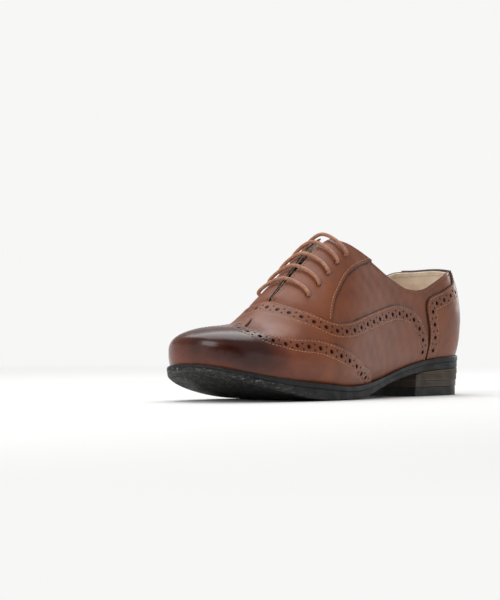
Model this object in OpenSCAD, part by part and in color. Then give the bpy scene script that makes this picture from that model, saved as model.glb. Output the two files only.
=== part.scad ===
// Lace-up wingtip oxford shoe, left foot: a lasted leather upper on a rubber sole with a stacked heel.
// The toe points along +X, the outer side of the foot lies along +Y and the floor is at z = 0.
// Everything is worked out on a last: skin() gives a point on the last grown by an offset.

/* [Last] */
// Length of the last with the vamp on it, from the back of the heel to the toe
last_length = 258.7; // [215:0.1:312]
// Width of the last across the ball
ball_width = 86; // [70:0.5:104]
// Height of the lacing ridge above the feather line, at the top eyelets
instep_height = 93; // [77:0.5:112]
// Rise of the heel seat above the ball
heel_rise = 18.2; // [15:0.1:22]
// Rise of the toe above the ball
toe_spring = 15; // [12:0.1:18]
// Thickness of rand and outsole together under the ball
ball_height = 9.3; // [8.5:0.1:11.2]

/* [Leather] */
// Thickness of the outer leather
leather_t = 1.1; // [0.9:0.05:1.35]
// Thickness of the toe puff, the vamp backer and the heel stiffener
backer_t = 0.8; // [0.6:0.05:1]
// Thickness of the lining leather
lining_t = 0.8; // [0.6:0.05:1]
// Glue line between two layers
glue = 0.25; // [0.2:0.01:0.3]
// How far the quarter and the vamp backer run on under the edge of the vamp
underlap = 8; // [6:0.5:10]
// How far the quarter runs on under the edge of the facing
facing_underlap = 5; // [3.5:0.1:5.8]
// Half the gap between the two facings
facing_gap = 5.2; // [4:0.1:6.3]

/* [Bottom] */
// How far the rand stands out past the last at the heel
heel_margin = 1.4; // [1:0.1:1.8]
// How far the rand stands out past the last at the toe
toe_margin = 3.6; // [3:0.1:4.4]
// Thickness of the rand at the heel
rand_t = 3.8; // [3:0.1:4.6]
// Step from the rand's edge in to the outsole's edge
edge_step = 0.3; // [0.2:0.05:0.5]
// Thickness of the insole board
insole_t = 2.2; // [1.8:0.1:2.7]
// Thickness of the cushioned sock
sock_t = 1.8; // [1.5:0.1:2.2]
// Width of the steel shank
shank_w = 13; // [10:0.5:16]
// Thickness of the steel shank
shank_t = 1; // [0.8:0.1:1.2]

/* [Heel] */
// Distance from the back of the last to the heel breast
heel_length = 66; // [55:0.5:80]
// Thickness of the rubber top piece that meets the floor
top_piece_t = 6.3; // [5:0.1:7.4]
// Thickness of each flat heel lift
lift_t = 4.1; // [3.4:0.1:4.4]
// How far each layer of the heel steps in from the one above
heel_step = 0.45; // [0.3:0.05:0.6]
// Radius of a heel nail's shank
nail_r = 0.9; // [0.7:0.05:1.1]
// Clearance round a nail
nail_clear = 0.05; // [0.02:0.01:0.1]

/* [Lacing] */
// Number of eyelet pairs
eyelet_count = 5; // [4:1:6]
// Distance between eyelets along the shoe
eyelet_pitch = 10.3; // [8.6:0.1:11]
// Distance of the lowest eyelets from the back of the last
first_eyelet_x = 173.7; // [172:0.1:175]
// Radius of an eyelet's bore
eyelet_r = 1.65; // [1.6:0.05:1.9]
// Wall of an eyelet's barrel
eyelet_wall = 0.5; // [0.4:0.05:0.6]
// Width of an eyelet's flange
flange_w = 1.5; // [1.2:0.1:1.8]
// Diameter of the round lace
lace_d = 2.5; // [2.1:0.1:2.8]
// Thickness of the tongue's outer leather
tongue_t = 1.2; // [1:0.1:1.5]
// Length of the tongue from its stitched end to its free end
tongue_length = 64; // [54:0.5:68]
// Half the tongue's width, as a share of the way from the ridge to the feather
tongue_share = 0.28; // [0.23:0.01:0.3]

/* [Hidden] */

// ---- the last ----
// Stations along the last: [x, rise share, lateral half width, medial half width, centre line,
// bulge height above the feather, ridge height above the feather, roundness, feather level, sole]
// The rise share counts heel_rise before the ball and toe_spring after it. The feather level is how
// far below the widest line the feather lies, and sole is the sole's thickness under the feather.
design_length = 258.7;
design_width = 86;
design_instep = 93;
STATIONS = [
    [-10, 1.00, 31.0, 31.0,  0.0, 24.0, 78.5, 2.00, 0.45, 8.6],
    [ 20, 0.98, 31.5, 31.0,  0.0, 24.0, 81.0, 2.00, 0.45, 8.9],
    [ 50, 0.88, 31.5, 29.0,  0.0, 21.0, 86.0, 2.00, 0.45, 8.4],
    [ 80, 0.62, 33.0, 26.0,  0.0, 17.0, 91.5, 2.00, 0.45, 7.1],
    [110, 0.26, 37.0, 27.0,  0.0, 14.5, 96.0, 2.00, 0.45, 6.9],
    [140, 0.02, 42.5, 33.0,  0.0, 12.0, 93.0, 1.95, 0.45, 9.1],
    [155, 0.00, 44.8, 37.0,  0.0, 11.5, 82.5, 1.90, 0.45, 9.3],
    [170, 0.07, 45.5, 40.5,  0.0, 11.0, 69.5, 1.85, 0.43, 10.35],
    [185, 0.17, 44.3, 41.0, -1.0, 10.5, 55.0, 1.85, 0.38, 11.0],
    [200, 0.26, 42.0, 40.5, -2.5, 10.0, 41.5, 1.95, 0.33, 10.3],
    [215, 0.39, 39.2, 39.5, -4.0, 10.0, 33.6, 2.25, 0.30, 8.9],
    [235, 0.62, 35.7, 36.7, -6.0, 10.0, 30.0, 2.30, 0.30, 6.6],
    [272, 1.33, 32.7, 34.2, -9.0, 10.0, 22.0, 2.30, 0.30, 3.6]];
length_k = last_length / design_length;
width_k = ball_width / design_width;
instep_k = instep_height / design_instep;
toe_x = 212 * length_k;              // where the toe cap of the last starts
toe_len = last_length - toe_x;
heel_x = 34 * length_k;              // where the heel cap of the last ends
heel_len = heel_x;
cap_power = 2.5;                     // roundness of both caps in plan

// natural cubic spline through the points [x, y]
function sweep_down(p, i, c, d) = i >= len(p) - 1 ? [[0, 0]] :
    let (h0 = p[i][0] - p[i - 1][0], h1 = p[i + 1][0] - p[i][0],
        slope = (p[i + 1][1] - p[i][1]) / h1 - (p[i][1] - p[i - 1][1]) / h0,
        den = 2 * (h0 + h1) - h0 * c, c1 = h1 / den, d1 = (6 * slope - h0 * d) / den)
    concat([[c1, d1]], sweep_down(p, i + 1, c1, d1));
function sweep_up(cd, i, m) = i < 0 ? [] :
    let (mi = cd[i][1] - cd[i][0] * m) concat(sweep_up(cd, i - 1, mi), [mi]);
function bends(p) = let (cd = sweep_down(p, 1, 0, 0))
    concat([0], sweep_up(cd, len(cd) - 2, 0), [0]);
function span(p, x, i = 0) = i >= len(p) - 2 || x < p[i + 1][0] ? i : span(p, x, i + 1);
function spline(p, m, x) =
    let (i = span(p, x), h = p[i + 1][0] - p[i][0], a = (p[i + 1][0] - x) / h, b = 1 - a)
    a * p[i][1] + b * p[i + 1][1] + ((a^3 - a) * m[i] + (b^3 - b) * m[i + 1]) * h^2 / 6;
function column(c, k) =
    let (p = [for (s = STATIONS) [s[0] * length_k, s[c] * k]], m = bends(p))
    [for (x = [p[0][0]:1:p[len(p) - 1][0]]) [x, spline(p, m, x)]];
RISE = column(1, 1);
WIDE_L = column(2, width_k);
WIDE_M = column(3, width_k);
CENTRE = column(4, width_k);
BULGE = column(5, 1);
RIDGE = column(6, instep_k);
ROUND = column(7, 1);
LEVEL = column(8, 1);
SOLE = column(9, 1);
ball_x = 155 * length_k;

function feather_z(x) = ball_height + lookup(x, RISE) * (x < ball_x ? heel_rise : toe_spring);
function cap_share(x) = x > toe_x ? (x - toe_x) / toe_len : x < heel_x ? (heel_x - x) / heel_len : 0;
function cap_size(x) = pow(max(0, 1 - pow(min(1, cap_share(x)), cap_power)), 1 / cap_power);
function grow_x(x, o) = x > toe_x ? x + o * cap_share(x) : x < heel_x ? x - o * cap_share(x) : x;

// a place on the last is [x, side, height]: side and height are shares of the section's half size
function settle(c) =
    let (n = lookup(c[0], ROUND), k = cap_share(c[0]),
        g = pow(pow(abs(c[1]), n) + pow(abs(c[2]), n), 1 / n),
        r = pow(pow(k, cap_power) + pow(g, cap_power), 1 / cap_power),
        x = k == 0 ? c[0] : c[0] > toe_x ? toe_x + toe_len * k / r : heel_x - heel_len * k / r)
    [x, c[1] / r, c[2] / r];
function grown(c, o) =
    let (x = c[0], zb = lookup(x, BULGE), mid = feather_z(x) + zb,
        half = (c[1] > 0 ? lookup(x, WIDE_L) : lookup(x, WIDE_M)) + o,
        up = lookup(x, RIDGE) + o - zb)
    [grow_x(x, o), lookup(x, CENTRE) + half * c[1],
        mid + (c[2] > 0 ? up : zb / lookup(x, LEVEL)) * c[2]];
function skin(c, o) = grown(settle(c), o);
// a place by its distance along the last and its share t of the way from ridge (0) to feather (1)
function feather_angle(x) =
    let (n = lookup(x, ROUND), c = min(1, lookup(x, LEVEL) / max(cap_size(x), 0.001)))
    atan2(pow(1 - pow(c, n), 1 / n), -c);
function on(x0, t) =
    let (x = x0 * length_k, a = t * feather_angle(x), n = lookup(x, ROUND),
        g = pow(pow(abs(sin(a)), n) + pow(abs(cos(a)), n), 1 / n), e = cap_size(x))
    [x, e * sin(a) / g, e * cos(a) / g];
// half width share of the feather line at x
function feather_share(x) =
    let (n = lookup(x, ROUND))
    pow(max(0, pow(cap_size(x), n) - pow(lookup(x, LEVEL), n)), 1 / n);
function feather_at(x, side) = [x, side * feather_share(x), -lookup(x, LEVEL)];
toe_level = lookup(last_length, LEVEL);
heel_level = lookup(0, LEVEL);
function cap_end(level) = pow(1 - pow(level, cap_power), 1 / cap_power);
toe_end = toe_x + toe_len * cap_end(toe_level);
heel_end = heel_x - heel_len * cap_end(heel_level);
// the centre line of the back, at a height share
function back(q) = [heel_x - heel_len * pow(1 - pow(abs(q), cap_power), 1 / cap_power), 0, q];
function mirrored(list) = [for (c = list) [c[0], -c[1], c[2]]];
function flipped(list) = [for (i = [len(list) - 1:-1:0]) list[i]];
function both_sides(list) = concat(list, flipped(mirrored(list)));

// feather line on one side, from x0 to the toe or from x0 to the back
cap_steps = 9;
function feather_to_toe(x0) = concat(
    [for (i = [0:5]) feather_at(x0 + (toe_x - x0) * i / 6, 1)],
    [for (a = [0:90 / cap_steps:89]) feather_at(toe_x + (toe_end - toe_x) * sin(a), 1)],
    [[toe_end, 0, -toe_level]]);
function feather_to_back(x0) = concat(
    [for (i = [0:2]) feather_at(x0 + (heel_x - x0) * i / 3, 1)],
    [for (a = [0:90 / cap_steps:89]) feather_at(heel_x - (heel_x - heel_end) * sin(a), 1)],
    [[heel_end, 0, -heel_level]]);

// ---- sheets: a piece of leather lies between two curves on the last ----
toe_crowd = 0.5;
nose_bias = 1.35;
heel_crowd = 0.3;
function flat_dist(a, b) = let (d = b - a, w = ball_width * 0.4) norm([d[0], d[1] * w, d[2] * w]);
function run_lengths(c, i = 0, s = 0) = i >= len(c) - 1 ? [[s, i]] :
    concat([[s, i]], run_lengths(c, i + 1, s + flat_dist(c[i], c[i + 1])));
function point_at(c, runs, s, i = 0) =
    i < len(c) - 2 && s > runs[i + 1][0] ? point_at(c, runs, s, i + 1) :
    let (k = (s - runs[i][0]) / max(0.0001, runs[i + 1][0] - runs[i][0])) c[i] + (c[i + 1] - c[i]) * k;
// n steps along a curve: crowd packs them towards the middle, bias above 1 towards the start
function resampled(c, n, crowd = 0, bias = 1) =
    let (runs = run_lengths(c), total = runs[len(c) - 1][0])
    [for (i = [0:n]) let (u = pow(i / n, bias))
        point_at(c, runs, total * (u + crowd * sin(360 * u) / (2 * PI)))];
// rows of places from the low curve to the high curve, evenly spaced over the surface
function rows(low, high, nu, nv, crowd = 0, bias = 1) =
    let (a = resampled(low, nu, crowd), b = resampled(high, nu, crowd), steps = 18,
        columns = [for (i = [0:nu])
            resampled([for (k = [0:steps]) settle(a[i] + (b[i] - a[i]) * k / steps)], nv, 0, bias)])
    [for (j = [0:nv]) [for (i = [0:nu]) settle(columns[i][j])]];

// a closed sheet between two offsets from the last; grid holds rows of places
module sheet(grid, inner, outer) {
    nv = len(grid) - 1;
    nu = len(grid[0]) - 1;
    count = (nu + 1) * (nv + 1);
    points = concat(
        [for (row = grid) for (c = row) grown(c, outer)],
        [for (row = grid) for (c = row) grown(c, inner)]);
    function id(i, j) = j * (nu + 1) + i;
    rim = concat(
        [for (i = [0:nu - 1]) id(i, 0)], [for (j = [0:nv - 1]) id(nu, j)],
        [for (i = [nu:-1:1]) id(i, nv)], [for (j = [nv:-1:1]) id(0, j)]);
    faces = concat(
        [for (j = [0:nv - 1]) for (i = [0:nu - 1]) each
            [[id(i, j), id(i + 1, j + 1), id(i, j + 1)], [id(i, j), id(i + 1, j), id(i + 1, j + 1)]]],
        [for (j = [0:nv - 1]) for (i = [0:nu - 1]) each
            [[count + id(i, j), count + id(i, j + 1), count + id(i + 1, j + 1)],
             [count + id(i, j), count + id(i + 1, j + 1), count + id(i + 1, j)]]],
        [for (k = [0:len(rim) - 1]) let (a = rim[k], b = rim[(k + 1) % len(rim)]) each
            [[b, a, count + a], [b, count + a, count + b]]]);
    polyhedron(points, faces);
}

// ---- layers, counted outwards from the outside of the vamp ----
layer = leather_t + glue;
puff_room = 0.3;                     // lets the stiff puff follow the tighter curves of the toe
wing_in = glue;
wing_out = layer;
quarter_out = -layer;
quarter_in = quarter_out - leather_t;
puff_out = -layer - puff_room;
puff_in = puff_out - backer_t;
stiff_out = quarter_in - glue;
stiff_in = stiff_out - backer_t;
vamp_lining_out = puff_in - glue - puff_room;
vamp_lining_in = vamp_lining_out - lining_t;
quarter_lining_out = min(stiff_in, vamp_lining_in) - glue;
quarter_lining_in = quarter_lining_out - lining_t;
flange_t = 0.5;
lace_clear = 0.35;
lace_r = lace_d / 2;
flange_seat = 0.6;                   // keeps the flat flange off the curved lining
lace_under = quarter_lining_in - flange_seat - flange_t - lace_clear - lace_r;
lace_over = lace_r + 0.9;
tongue_out = lace_under - lace_r - lace_clear * 2;
tongue_in = tongue_out - tongue_t;
tongue_lining_out = tongue_in - glue;
tongue_lining_in = tongue_lining_out - lining_t;

// ---- edges of the pieces on the lateral side, as [distance along the last, share of the wall] ----
top_back_share = 0.637;
throat_x = 187;
wall_run = 95;                       // from ridge to feather over the wall
TOPLINE = [[9, 0.30], [16, 0.405], [23.2, 0.435], [31.5, 0.49], [41.5, 0.525], [55.6, 0.555],
    [66.4, 0.548], [77.1, 0.52], [85.9, 0.48], [97.1, 0.415], [106.9, 0.335]];
FACING_TOP = [[106.9, 0.335], [115.2, 0.265], [122, 0.185], [128.6, 0.1]];
FACING_REAR = [[106.9, 0.335], [116.1, 0.34], [130.8, 0.345], [142.5, 0.355], [151.3, 0.375],
    [159.6, 0.405], [165.4, 0.455], [168.3, 0.49]];
VAMP_EDGE = [[54.4, 0.93], [54.2, 0.885], [57.6, 0.785], [62.5, 0.715], [70.3, 0.655], [81, 0.615],
    [91.7, 0.59], [107.8, 0.58], [131.3, 0.575], [151.3, 0.56], [166.9, 0.52], [172.8, 0.48],
    [178.5, 0.41], [184.5, 0.28], [187.2, 0.14], [throat_x, 0]];
WING_EDGE = [[129, 0.93], [137.6, 0.805], [151.3, 0.715], [165, 0.66], [179.1, 0.605], [189.4, 0.555],
    [201.1, 0.5], [214.7, 0.435], [222.6, 0.35], [224.3, 0.26], [222.1, 0.175], [218.7, 0.125],
    [203, 0]];
COUNTER_EDGE = [[53, 0.93], [52.3, 0.86], [53, 0.77], [54.4, 0.705], [54.8, 0.655], [53, 0.625],
    [45.9, 0.605], [35.5, 0.59], [19, 0.525], [16.4, 0.46], [16, 0.405], [9, 0.3]];
VAMP_LINING_EDGE = [[118, 0.93], [124, 0.75], [134, 0.64], [158, 0.54], [174, 0.44], [184, 0.25],
    [188, 0]];
QUARTER_LINING_FRONT = [[126, 0.93], [131, 0.72], [142, 0.6], [160, 0.48], [176, 0.33], [184, 0.09]];
STIFFENER_EDGE = [[78, 0.93], [74, 0.72], [62, 0.62], [46, 0.6], [28, 0.55], [14, 0.48]];
PUFF_EDGE = [[202, 0.93], [204, 0.7], [206, 0.4], [207, 0]];

function slice(list, a, b) = [for (i = [a:b]) list[i]];
function places(list) = [for (p = list) on(p[0], p[1])];
// an edge moved sideways over the wall by d, to its right when walking along it
function moved(list, d) =
    [for (i = [0:len(list) - 1])
        let (a = list[max(0, i - 1)], b = list[min(len(list) - 1, i + 1)],
            run = [b[0] - a[0], (b[1] - a[1]) * wall_run], n = [-run[1], run[0]] / norm(run))
        [list[i][0] + n[0] * d, list[i][1] + n[1] * d / wall_run]];
back_top = back(top_back_share);
back_foot = feather_to_back(30 * length_k);
// the edge of the facings along the gap, at design distance x from the back; the gap closes
// towards the throat
gap_foot = 0.8;
function gap_half(x) = gap_foot + (facing_gap - gap_foot) * (throat_x - x) / (throat_x - 128.6);
function gap_place(x) =
    let (share = gap_half(x) / lookup(x * length_k, WIDE_L)) settle([x * length_k, share, 1]);
GAP_LINE = [for (x = [129:7:184]) gap_place(x)];

// ---- outer leathers ----
leather = [0.45, 0.27, 0.19];
burnished = [0.3, 0.16, 0.13];
canvas = [0.82, 0.78, 0.7];
beige = [0.75, 0.68, 0.58];
charcoal = [0.2, 0.21, 0.21];
function other_side(grid) = [for (row = grid) flipped(mirrored(row))];

module wingtip() {
    low = both_sides(feather_to_toe(131 * length_k));
    color(burnished)
    sheet(rows(low, both_sides(places(WING_EDGE)), 46, 8, toe_crowd, nose_bias), wing_in, wing_out);
}

module vamp() {
    low = both_sides(feather_to_toe(56.5 * length_k));
    color(leather)
    sheet(rows(low, both_sides(places(VAMP_EDGE)), 54, 9, toe_crowd, nose_bias), -leather_t, 0);
}

facing_cols = 8;
facing_rows = 11;
function facing_grid() =
    let (n = facing_rows, m = facing_cols,
        gap = [for (i = [0:n]) gap_place(throat_x - 1.5 - (throat_x - 130.5) * i / n)],
        rear = resampled(flipped(places(FACING_REAR)), n),
        foot = resampled([gap[0], on(183.6, 0.28), on(177.4, 0.41), rear[0]], m),
        head = resampled(flipped(concat(places(FACING_TOP), [gap[n]])), m))
    [for (j = [n:-1:0]) [for (i = [0:m])
        let (u = i / m, v = j / n, low = gap[0] * (1 - u) + rear[0] * u,
            high = gap[n] * (1 - u) + rear[n] * u)
        settle(gap[j] * (1 - u) + rear[j] * u + (foot[i] - low) * (1 - v) + (head[i] - high) * v)]];

module facing(side) {
    difference() {
        sheet(side > 0 ? facing_grid() : other_side(facing_grid()), -leather_t, 0);
        for (i = [0:eyelet_count - 1]) {
            at_eyelet(i, side, -leather_t) eyelet_hole(eyelet_r);
        }
    }
}
module facing_lateral() {
    color(leather) facing(1);
}
module facing_medial() {
    color(leather) facing(-1);
}

quarter_last = 10;                   // how many points of VAMP_EDGE the quarter follows
function quarter_grid() =
    let (low = concat(flipped(back_foot), [for (x = [40, 52, 62]) feather_at(x * length_k, 1)],
            places(moved(slice(VAMP_EDGE, 1, quarter_last), underlap)), [on(176.5, 0.57)]),
        high = concat([back_top], places(TOPLINE),
            places(moved(slice(FACING_REAR, 1, 7), -facing_underlap))))
    rows(low, high, 36, 7);
module quarter_lateral() {
    color(leather) sheet(quarter_grid(), quarter_in, quarter_out);
}
module quarter_medial() {
    color(leather) sheet(other_side(quarter_grid()), quarter_in, quarter_out);
}

module heel_counter_cover() {
    low = flipped(both_sides(feather_to_back(53.5 * length_k)));
    high = flipped(both_sides(concat(places(COUNTER_EDGE), [back_top])));
    color(leather) sheet(rows(low, high, 36, 8, heel_crowd), -leather_t, 0);
}

// ---- inside the upper ----
module toe_puff() {
    low = both_sides(feather_to_toe(203 * length_k));
    color(canvas) sheet(rows(low, both_sides(places(PUFF_EDGE)), 34, 6, 0.2, 1.2), puff_in, puff_out);
}

module vamp_backer() {
    front = concat([for (x = [80:12:198]) feather_at(x * length_k, 1)], places(moved(PUFF_EDGE, -2)));
    high = places(moved(slice(VAMP_EDGE, 3, 15), underlap + 3));
    color(canvas) sheet(rows(both_sides(front), both_sides(high), 50, 6, 0.3), puff_in, puff_out);
}

module heel_stiffener() {
    low = flipped(both_sides(feather_to_back(79 * length_k)));
    high = flipped(both_sides(concat(places(STIFFENER_EDGE), [back(0.45)])));
    color(canvas) sheet(rows(low, high, 34, 6, heel_crowd), stiff_in, stiff_out);
}

module vamp_lining() {
    low = both_sides(feather_to_toe(119 * length_k));
    color(beige) sheet(rows(low, both_sides(places(VAMP_LINING_EDGE)), 48, 11, toe_crowd, nose_bias),
        vamp_lining_in, vamp_lining_out);
}

function quarter_lining_grid() =
    let (low = concat(flipped(back_foot), [for (x = [48:15:123]) feather_at(x * length_k, 1)],
            places(QUARTER_LINING_FRONT)),
        high = concat([back_top], places(TOPLINE), places(slice(FACING_TOP, 1, 3)), GAP_LINE))
    rows(low, high, 36, 8);
module quarter_lining(side) {
    difference() {
        sheet(side > 0 ? quarter_lining_grid() : other_side(quarter_lining_grid()),
            quarter_lining_in, quarter_lining_out);
        for (i = [0:eyelet_count - 1]) {
            at_eyelet(i, side, quarter_lining_in) eyelet_hole(eyelet_r + eyelet_wall + 0.15);
        }
    }
}
module quarter_lining_lateral() {
    color(beige) quarter_lining(1);
}
module quarter_lining_medial() {
    color(beige) quarter_lining(-1);
}

// ---- lacing ----
eyelet_share = 0.25;                 // how far down the wall the eyelets sit
function eyelet_place(i, side) = on(first_eyelet_x - i * eyelet_pitch, side * eyelet_share);
function surface_normal(c) =
    let (du = skin([c[0] + 0.5, c[1], c[2]], 0) - skin([c[0] - 0.5, c[1], c[2]], 0),
        turn = 0.01, e = [c[0], c[1] + turn * c[2], c[2] - turn * c[1]],
        f = [c[0], c[1] - turn * c[2], c[2] + turn * c[1]],
        dv = skin(e, 0) - skin(f, 0), n = cross(du, dv))
    n / norm(n);
// the point on an eyelet's axis at an offset from the last
function eyelet_point(i, side, o) =
    let (c = eyelet_place(i, side), n = surface_normal(c), p = skin(c, 0), g = skin(c, 1) - p)
    p + n * o * (g * n);
module at_eyelet(i, side, o) {
    n = surface_normal(eyelet_place(i, side));
    translate(eyelet_point(i, side, o))
    rotate([0, acos(n[2]), atan2(n[1], n[0])])
    children();
}
module eyelet_hole(r) {
    translate([0, 0, -3]) cylinder(r = r, h = 8, $fn = 24);
}
barrel_top = -leather_t - glue;
module eyelet(i, side) {
    depth = norm(eyelet_point(i, side, barrel_top) - eyelet_point(i, side, quarter_lining_in));
    at_eyelet(i, side, quarter_lining_in)
    difference() {
        union() {
            translate([0, 0, -flange_seat - flange_t])
            cylinder(r = eyelet_r + eyelet_wall + flange_w, h = flange_t, $fn = 24);
            translate([0, 0, -flange_seat - flange_t])
            cylinder(r = eyelet_r + eyelet_wall, h = flange_seat + flange_t + depth, $fn = 24);
        }
        translate([0, 0, -2]) cylinder(r = eyelet_r, h = 12, $fn = 24);
    }
}
module eyelets_lateral() {
    color("dimgray") for (i = [0:eyelet_count - 1]) eyelet(i, 1);
}
module eyelets_medial() {
    color("dimgray") for (i = [0:eyelet_count - 1]) eyelet(i, -1);
}

// the lace goes straight over the gap from eyelet to eyelet and up to the next pair underneath
function bar_side(i) = i % 2 == 0 ? 1 : -1;
function bar(i) =
    let (s = bar_side(i), x = first_eyelet_x - i * eyelet_pitch, e = eyelet_share)
    [eyelet_point(i, s, lace_under), eyelet_point(i, s, -leather_t), eyelet_point(i, s, lace_over - 0.4),
        skin(on(x, s * e * 0.68), lace_over + 0.3), skin(on(x, 0), lace_over + 0.9),
        skin(on(x, -s * e * 0.68), lace_over + 0.3), eyelet_point(i, -s, lace_over - 0.4),
        eyelet_point(i, -s, -leather_t), eyelet_point(i, -s, lace_under)];
function crossing(i) = let (s = -bar_side(i))
    [skin(on(first_eyelet_x - (i + 0.5) * eyelet_pitch, s * eyelet_share), lace_under)];
tail_offset = quarter_lining_in - lace_r - 0.5;
// both loose ends go down the inside of the wall and lie on the sock
FIRST_TAIL = [[88, 0.82], [97, 0.83], [107, 0.83], [118, 0.83], [129, 0.83], [140, 0.82], [149, 0.78],
    [157, 0.70], [163, 0.6], [168, 0.49], [171.5, 0.38]];
LAST_TAIL = [[128, -0.36], [122, -0.46], [115, -0.56], [108, -0.66], [101, -0.75], [93, -0.81],
    [84, -0.83], [74, -0.83], [64, -0.82], [54, -0.81]];
last_side = bar_side(eyelet_count - 1);
LACE_ROUTE = concat([for (p = FIRST_TAIL) skin(on(p[0], p[1]), tail_offset)],
    [for (i = [0:eyelet_count - 1]) each concat(bar(i), i < eyelet_count - 1 ? crossing(i) : [])],
    [for (p = LAST_TAIL) skin(on(p[0], p[1] * last_side), tail_offset)]);

function unit(v) = v / norm(v);
function leg(p, i) = unit(p[i + 1] - p[i]);
function aim(p, i) = unit(leg(p, min(i, len(p) - 2)) + leg(p, max(i - 1, 0)));
// a direction across the path that turns as little as it can from ring to ring
function frames(p, i, side) = i >= len(p) ? [] :
    let (t = aim(p, i), s = unit(side - t * (side * t))) concat([s], frames(p, i + 1, s));
module tube(path, r, sides) {
    across = frames(path, 0, unit(cross(aim(path, 0), [0.1, 0.2, 1])));
    points = [for (i = [0:len(path) - 1]) for (k = [0:sides - 1])
        let (s = across[i], b = cross(aim(path, i), s), a = 360 * k / sides)
        path[i] + r * (s * cos(a) + b * sin(a))];
    last = (len(path) - 1) * sides;
    faces = concat([[for (k = [0:sides - 1]) k]],
        [for (i = [0:len(path) - 2]) for (k = [0:sides - 1])
            let (a = i * sides + k, b = i * sides + (k + 1) % sides) each
            [[a, a + sides, b], [b, a + sides, b + sides]]],
        [[for (k = [sides - 1:-1:0]) last + k]]);
    polyhedron(points, faces);
}
module lace() {
    color([0.66, 0.45, 0.33]) tube(LACE_ROUTE, lace_r, 8);
}
tip_length = 16;
module lace_tip(from, to) {
    d = unit(to - from);
    translate(to + d * 0.05)
    rotate([0, acos(d[2]), atan2(d[1], d[0])])
    cylinder(r = lace_r - 0.15, h = tip_length, $fn = 16);
}
module lace_tips() {
    n = len(LACE_ROUTE) - 1;
    color([0.5, 0.33, 0.24]) {
        lace_tip(LACE_ROUTE[1], LACE_ROUTE[0]);
        lace_tip(LACE_ROUTE[n - 1], LACE_ROUTE[n]);
    }
}

// ---- tongue ----
tongue_base_x = throat_x - 1;
tongue_seat = quarter_lining_in - glue - 0.5;  // room to swing down clear of the vamp lining
function tongue_offset(x, level) =
    let (k = min(1, max(0, (tongue_base_x - x) / 9)))
    tongue_seat + (level - tongue_seat) * k * k * (3 - 2 * k);
module tongue_layer(outer, inner) {
    nx = 14;
    nt = 12;
    x1 = tongue_base_x;
    x0 = tongue_base_x - tongue_length;
    // the outer face follows the level from the seat at the base
    function level(x, o) = tongue_offset(x, tongue_out) - (tongue_out - o);
    function half(x) = tongue_share * (0.78 + 0.22 * (tongue_base_x - x) / tongue_length)
        - 0.05 * pow(max(0, 1 - (x - x0) / 8), 2);
    grid = [for (j = [0:nx]) let (x = x0 + (x1 - x0) * j / nx)
        [for (i = [0:nt]) [x, half(x) * (2 * i / nt - 1)]]];
    count = (nx + 1) * (nt + 1);
    points = concat([for (row = grid) for (p = row) skin(on(p[0], p[1]), level(p[0], outer))],
        [for (row = grid) for (p = row) skin(on(p[0], p[1]), level(p[0], inner))]);
    function id(i, j) = j * (nt + 1) + i;
    rim = concat([for (i = [0:nt - 1]) id(i, 0)], [for (j = [0:nx - 1]) id(nt, j)],
        [for (i = [nt:-1:1]) id(i, nx)], [for (j = [nx:-1:1]) id(0, j)]);
    faces = concat(
        [for (j = [0:nx - 1]) for (i = [0:nt - 1]) each
            [[id(i, j), id(i + 1, j + 1), id(i, j + 1)], [id(i, j), id(i + 1, j), id(i + 1, j + 1)],
             [count + id(i, j), count + id(i, j + 1), count + id(i + 1, j + 1)],
             [count + id(i, j), count + id(i + 1, j + 1), count + id(i + 1, j)]]],
        [for (k = [0:len(rim) - 1]) let (a = rim[k], b = rim[(k + 1) % len(rim)]) each
            [[b, a, count + a], [b, count + a, count + b]]]);
    polyhedron(points, faces);
}
module tongue() {
    color(leather) tongue_layer(tongue_out, tongue_in);
}
module tongue_lining() {
    color(beige) tongue_layer(tongue_lining_out, tongue_lining_in);
}

// ---- bottom: slabs that follow the feather line, with an outline grown from the last ----
cap_angles = [88, 80, 70, 58, 45, 30, 15, 0];
function slab_stations(x0, x1) = concat(
    x0 < heel_x ? [for (a = slice(cap_angles, 0, 6)) heel_x - (heel_x - heel_end) * sin(a)] : [x0],
    [for (i = [1:26]) let (x = max(x0, heel_x) + (min(x1, toe_x) - max(x0, heel_x)) * i / 27) x],
    x1 > toe_x ? [for (a = flipped(cap_angles)) min(x1, toe_x + (toe_end - toe_x) * sin(a))] : [x1]);
function side_y(x, side, o) =
    lookup(x, CENTRE) + side * (lookup(x, side > 0 ? WIDE_L : WIDE_M) + o) * feather_share(x);
// margin, low and high are functions of the distance x along the last
module slab(xs, margin, low, high) {
    n = len(xs);
    points = [for (x = xs)
        let (m = margin(x), gx = grow_x(x, m), yl = side_y(x, 1, m), ym = side_y(x, -1, m)) each
        [[gx, ym, low(x)], [gx, yl, low(x)], [gx, yl, high(x)], [gx, ym, high(x)]]];
    polyhedron(points, bar_faces(n));
}
// faces of a bar with n sections of 4 points each
function bar_faces(n) = concat([[0, 1, 2], [0, 2, 3]],
    [for (i = [0:n - 2]) for (k = [0:3]) let (a = i * 4 + k, b = i * 4 + (k + 1) % 4) each
        [[a, a + 4, b], [b, a + 4, b + 4]]],
    [[n * 4 - 4, n * 4 - 2, n * 4 - 3], [n * 4 - 4, n * 4 - 1, n * 4 - 2]]);
function ease(k) = let (c = min(1, max(0, k))) c * c * (3 - 2 * c);
rand_margin = function(x) heel_margin + (toe_margin - heel_margin) * ease((x / length_k - 60) / 140);
outsole_margin = function(x) rand_margin(x) - edge_step;
sole_layer_gap = 0.1;
rand_top = function(x) feather_z(x) - glue;
rand_share = 0.42;                   // share of the sole's thickness taken by the rand
rand_low = function(x) feather_z(x) - min(rand_t, lookup(x, SOLE) * rand_share + 0.1);
outsole_top = function(x) rand_low(x) - sole_layer_gap;
outsole_low = function(x) max(0, feather_z(x) - lookup(x, SOLE));
full_stations = slab_stations(0, last_length);

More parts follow.
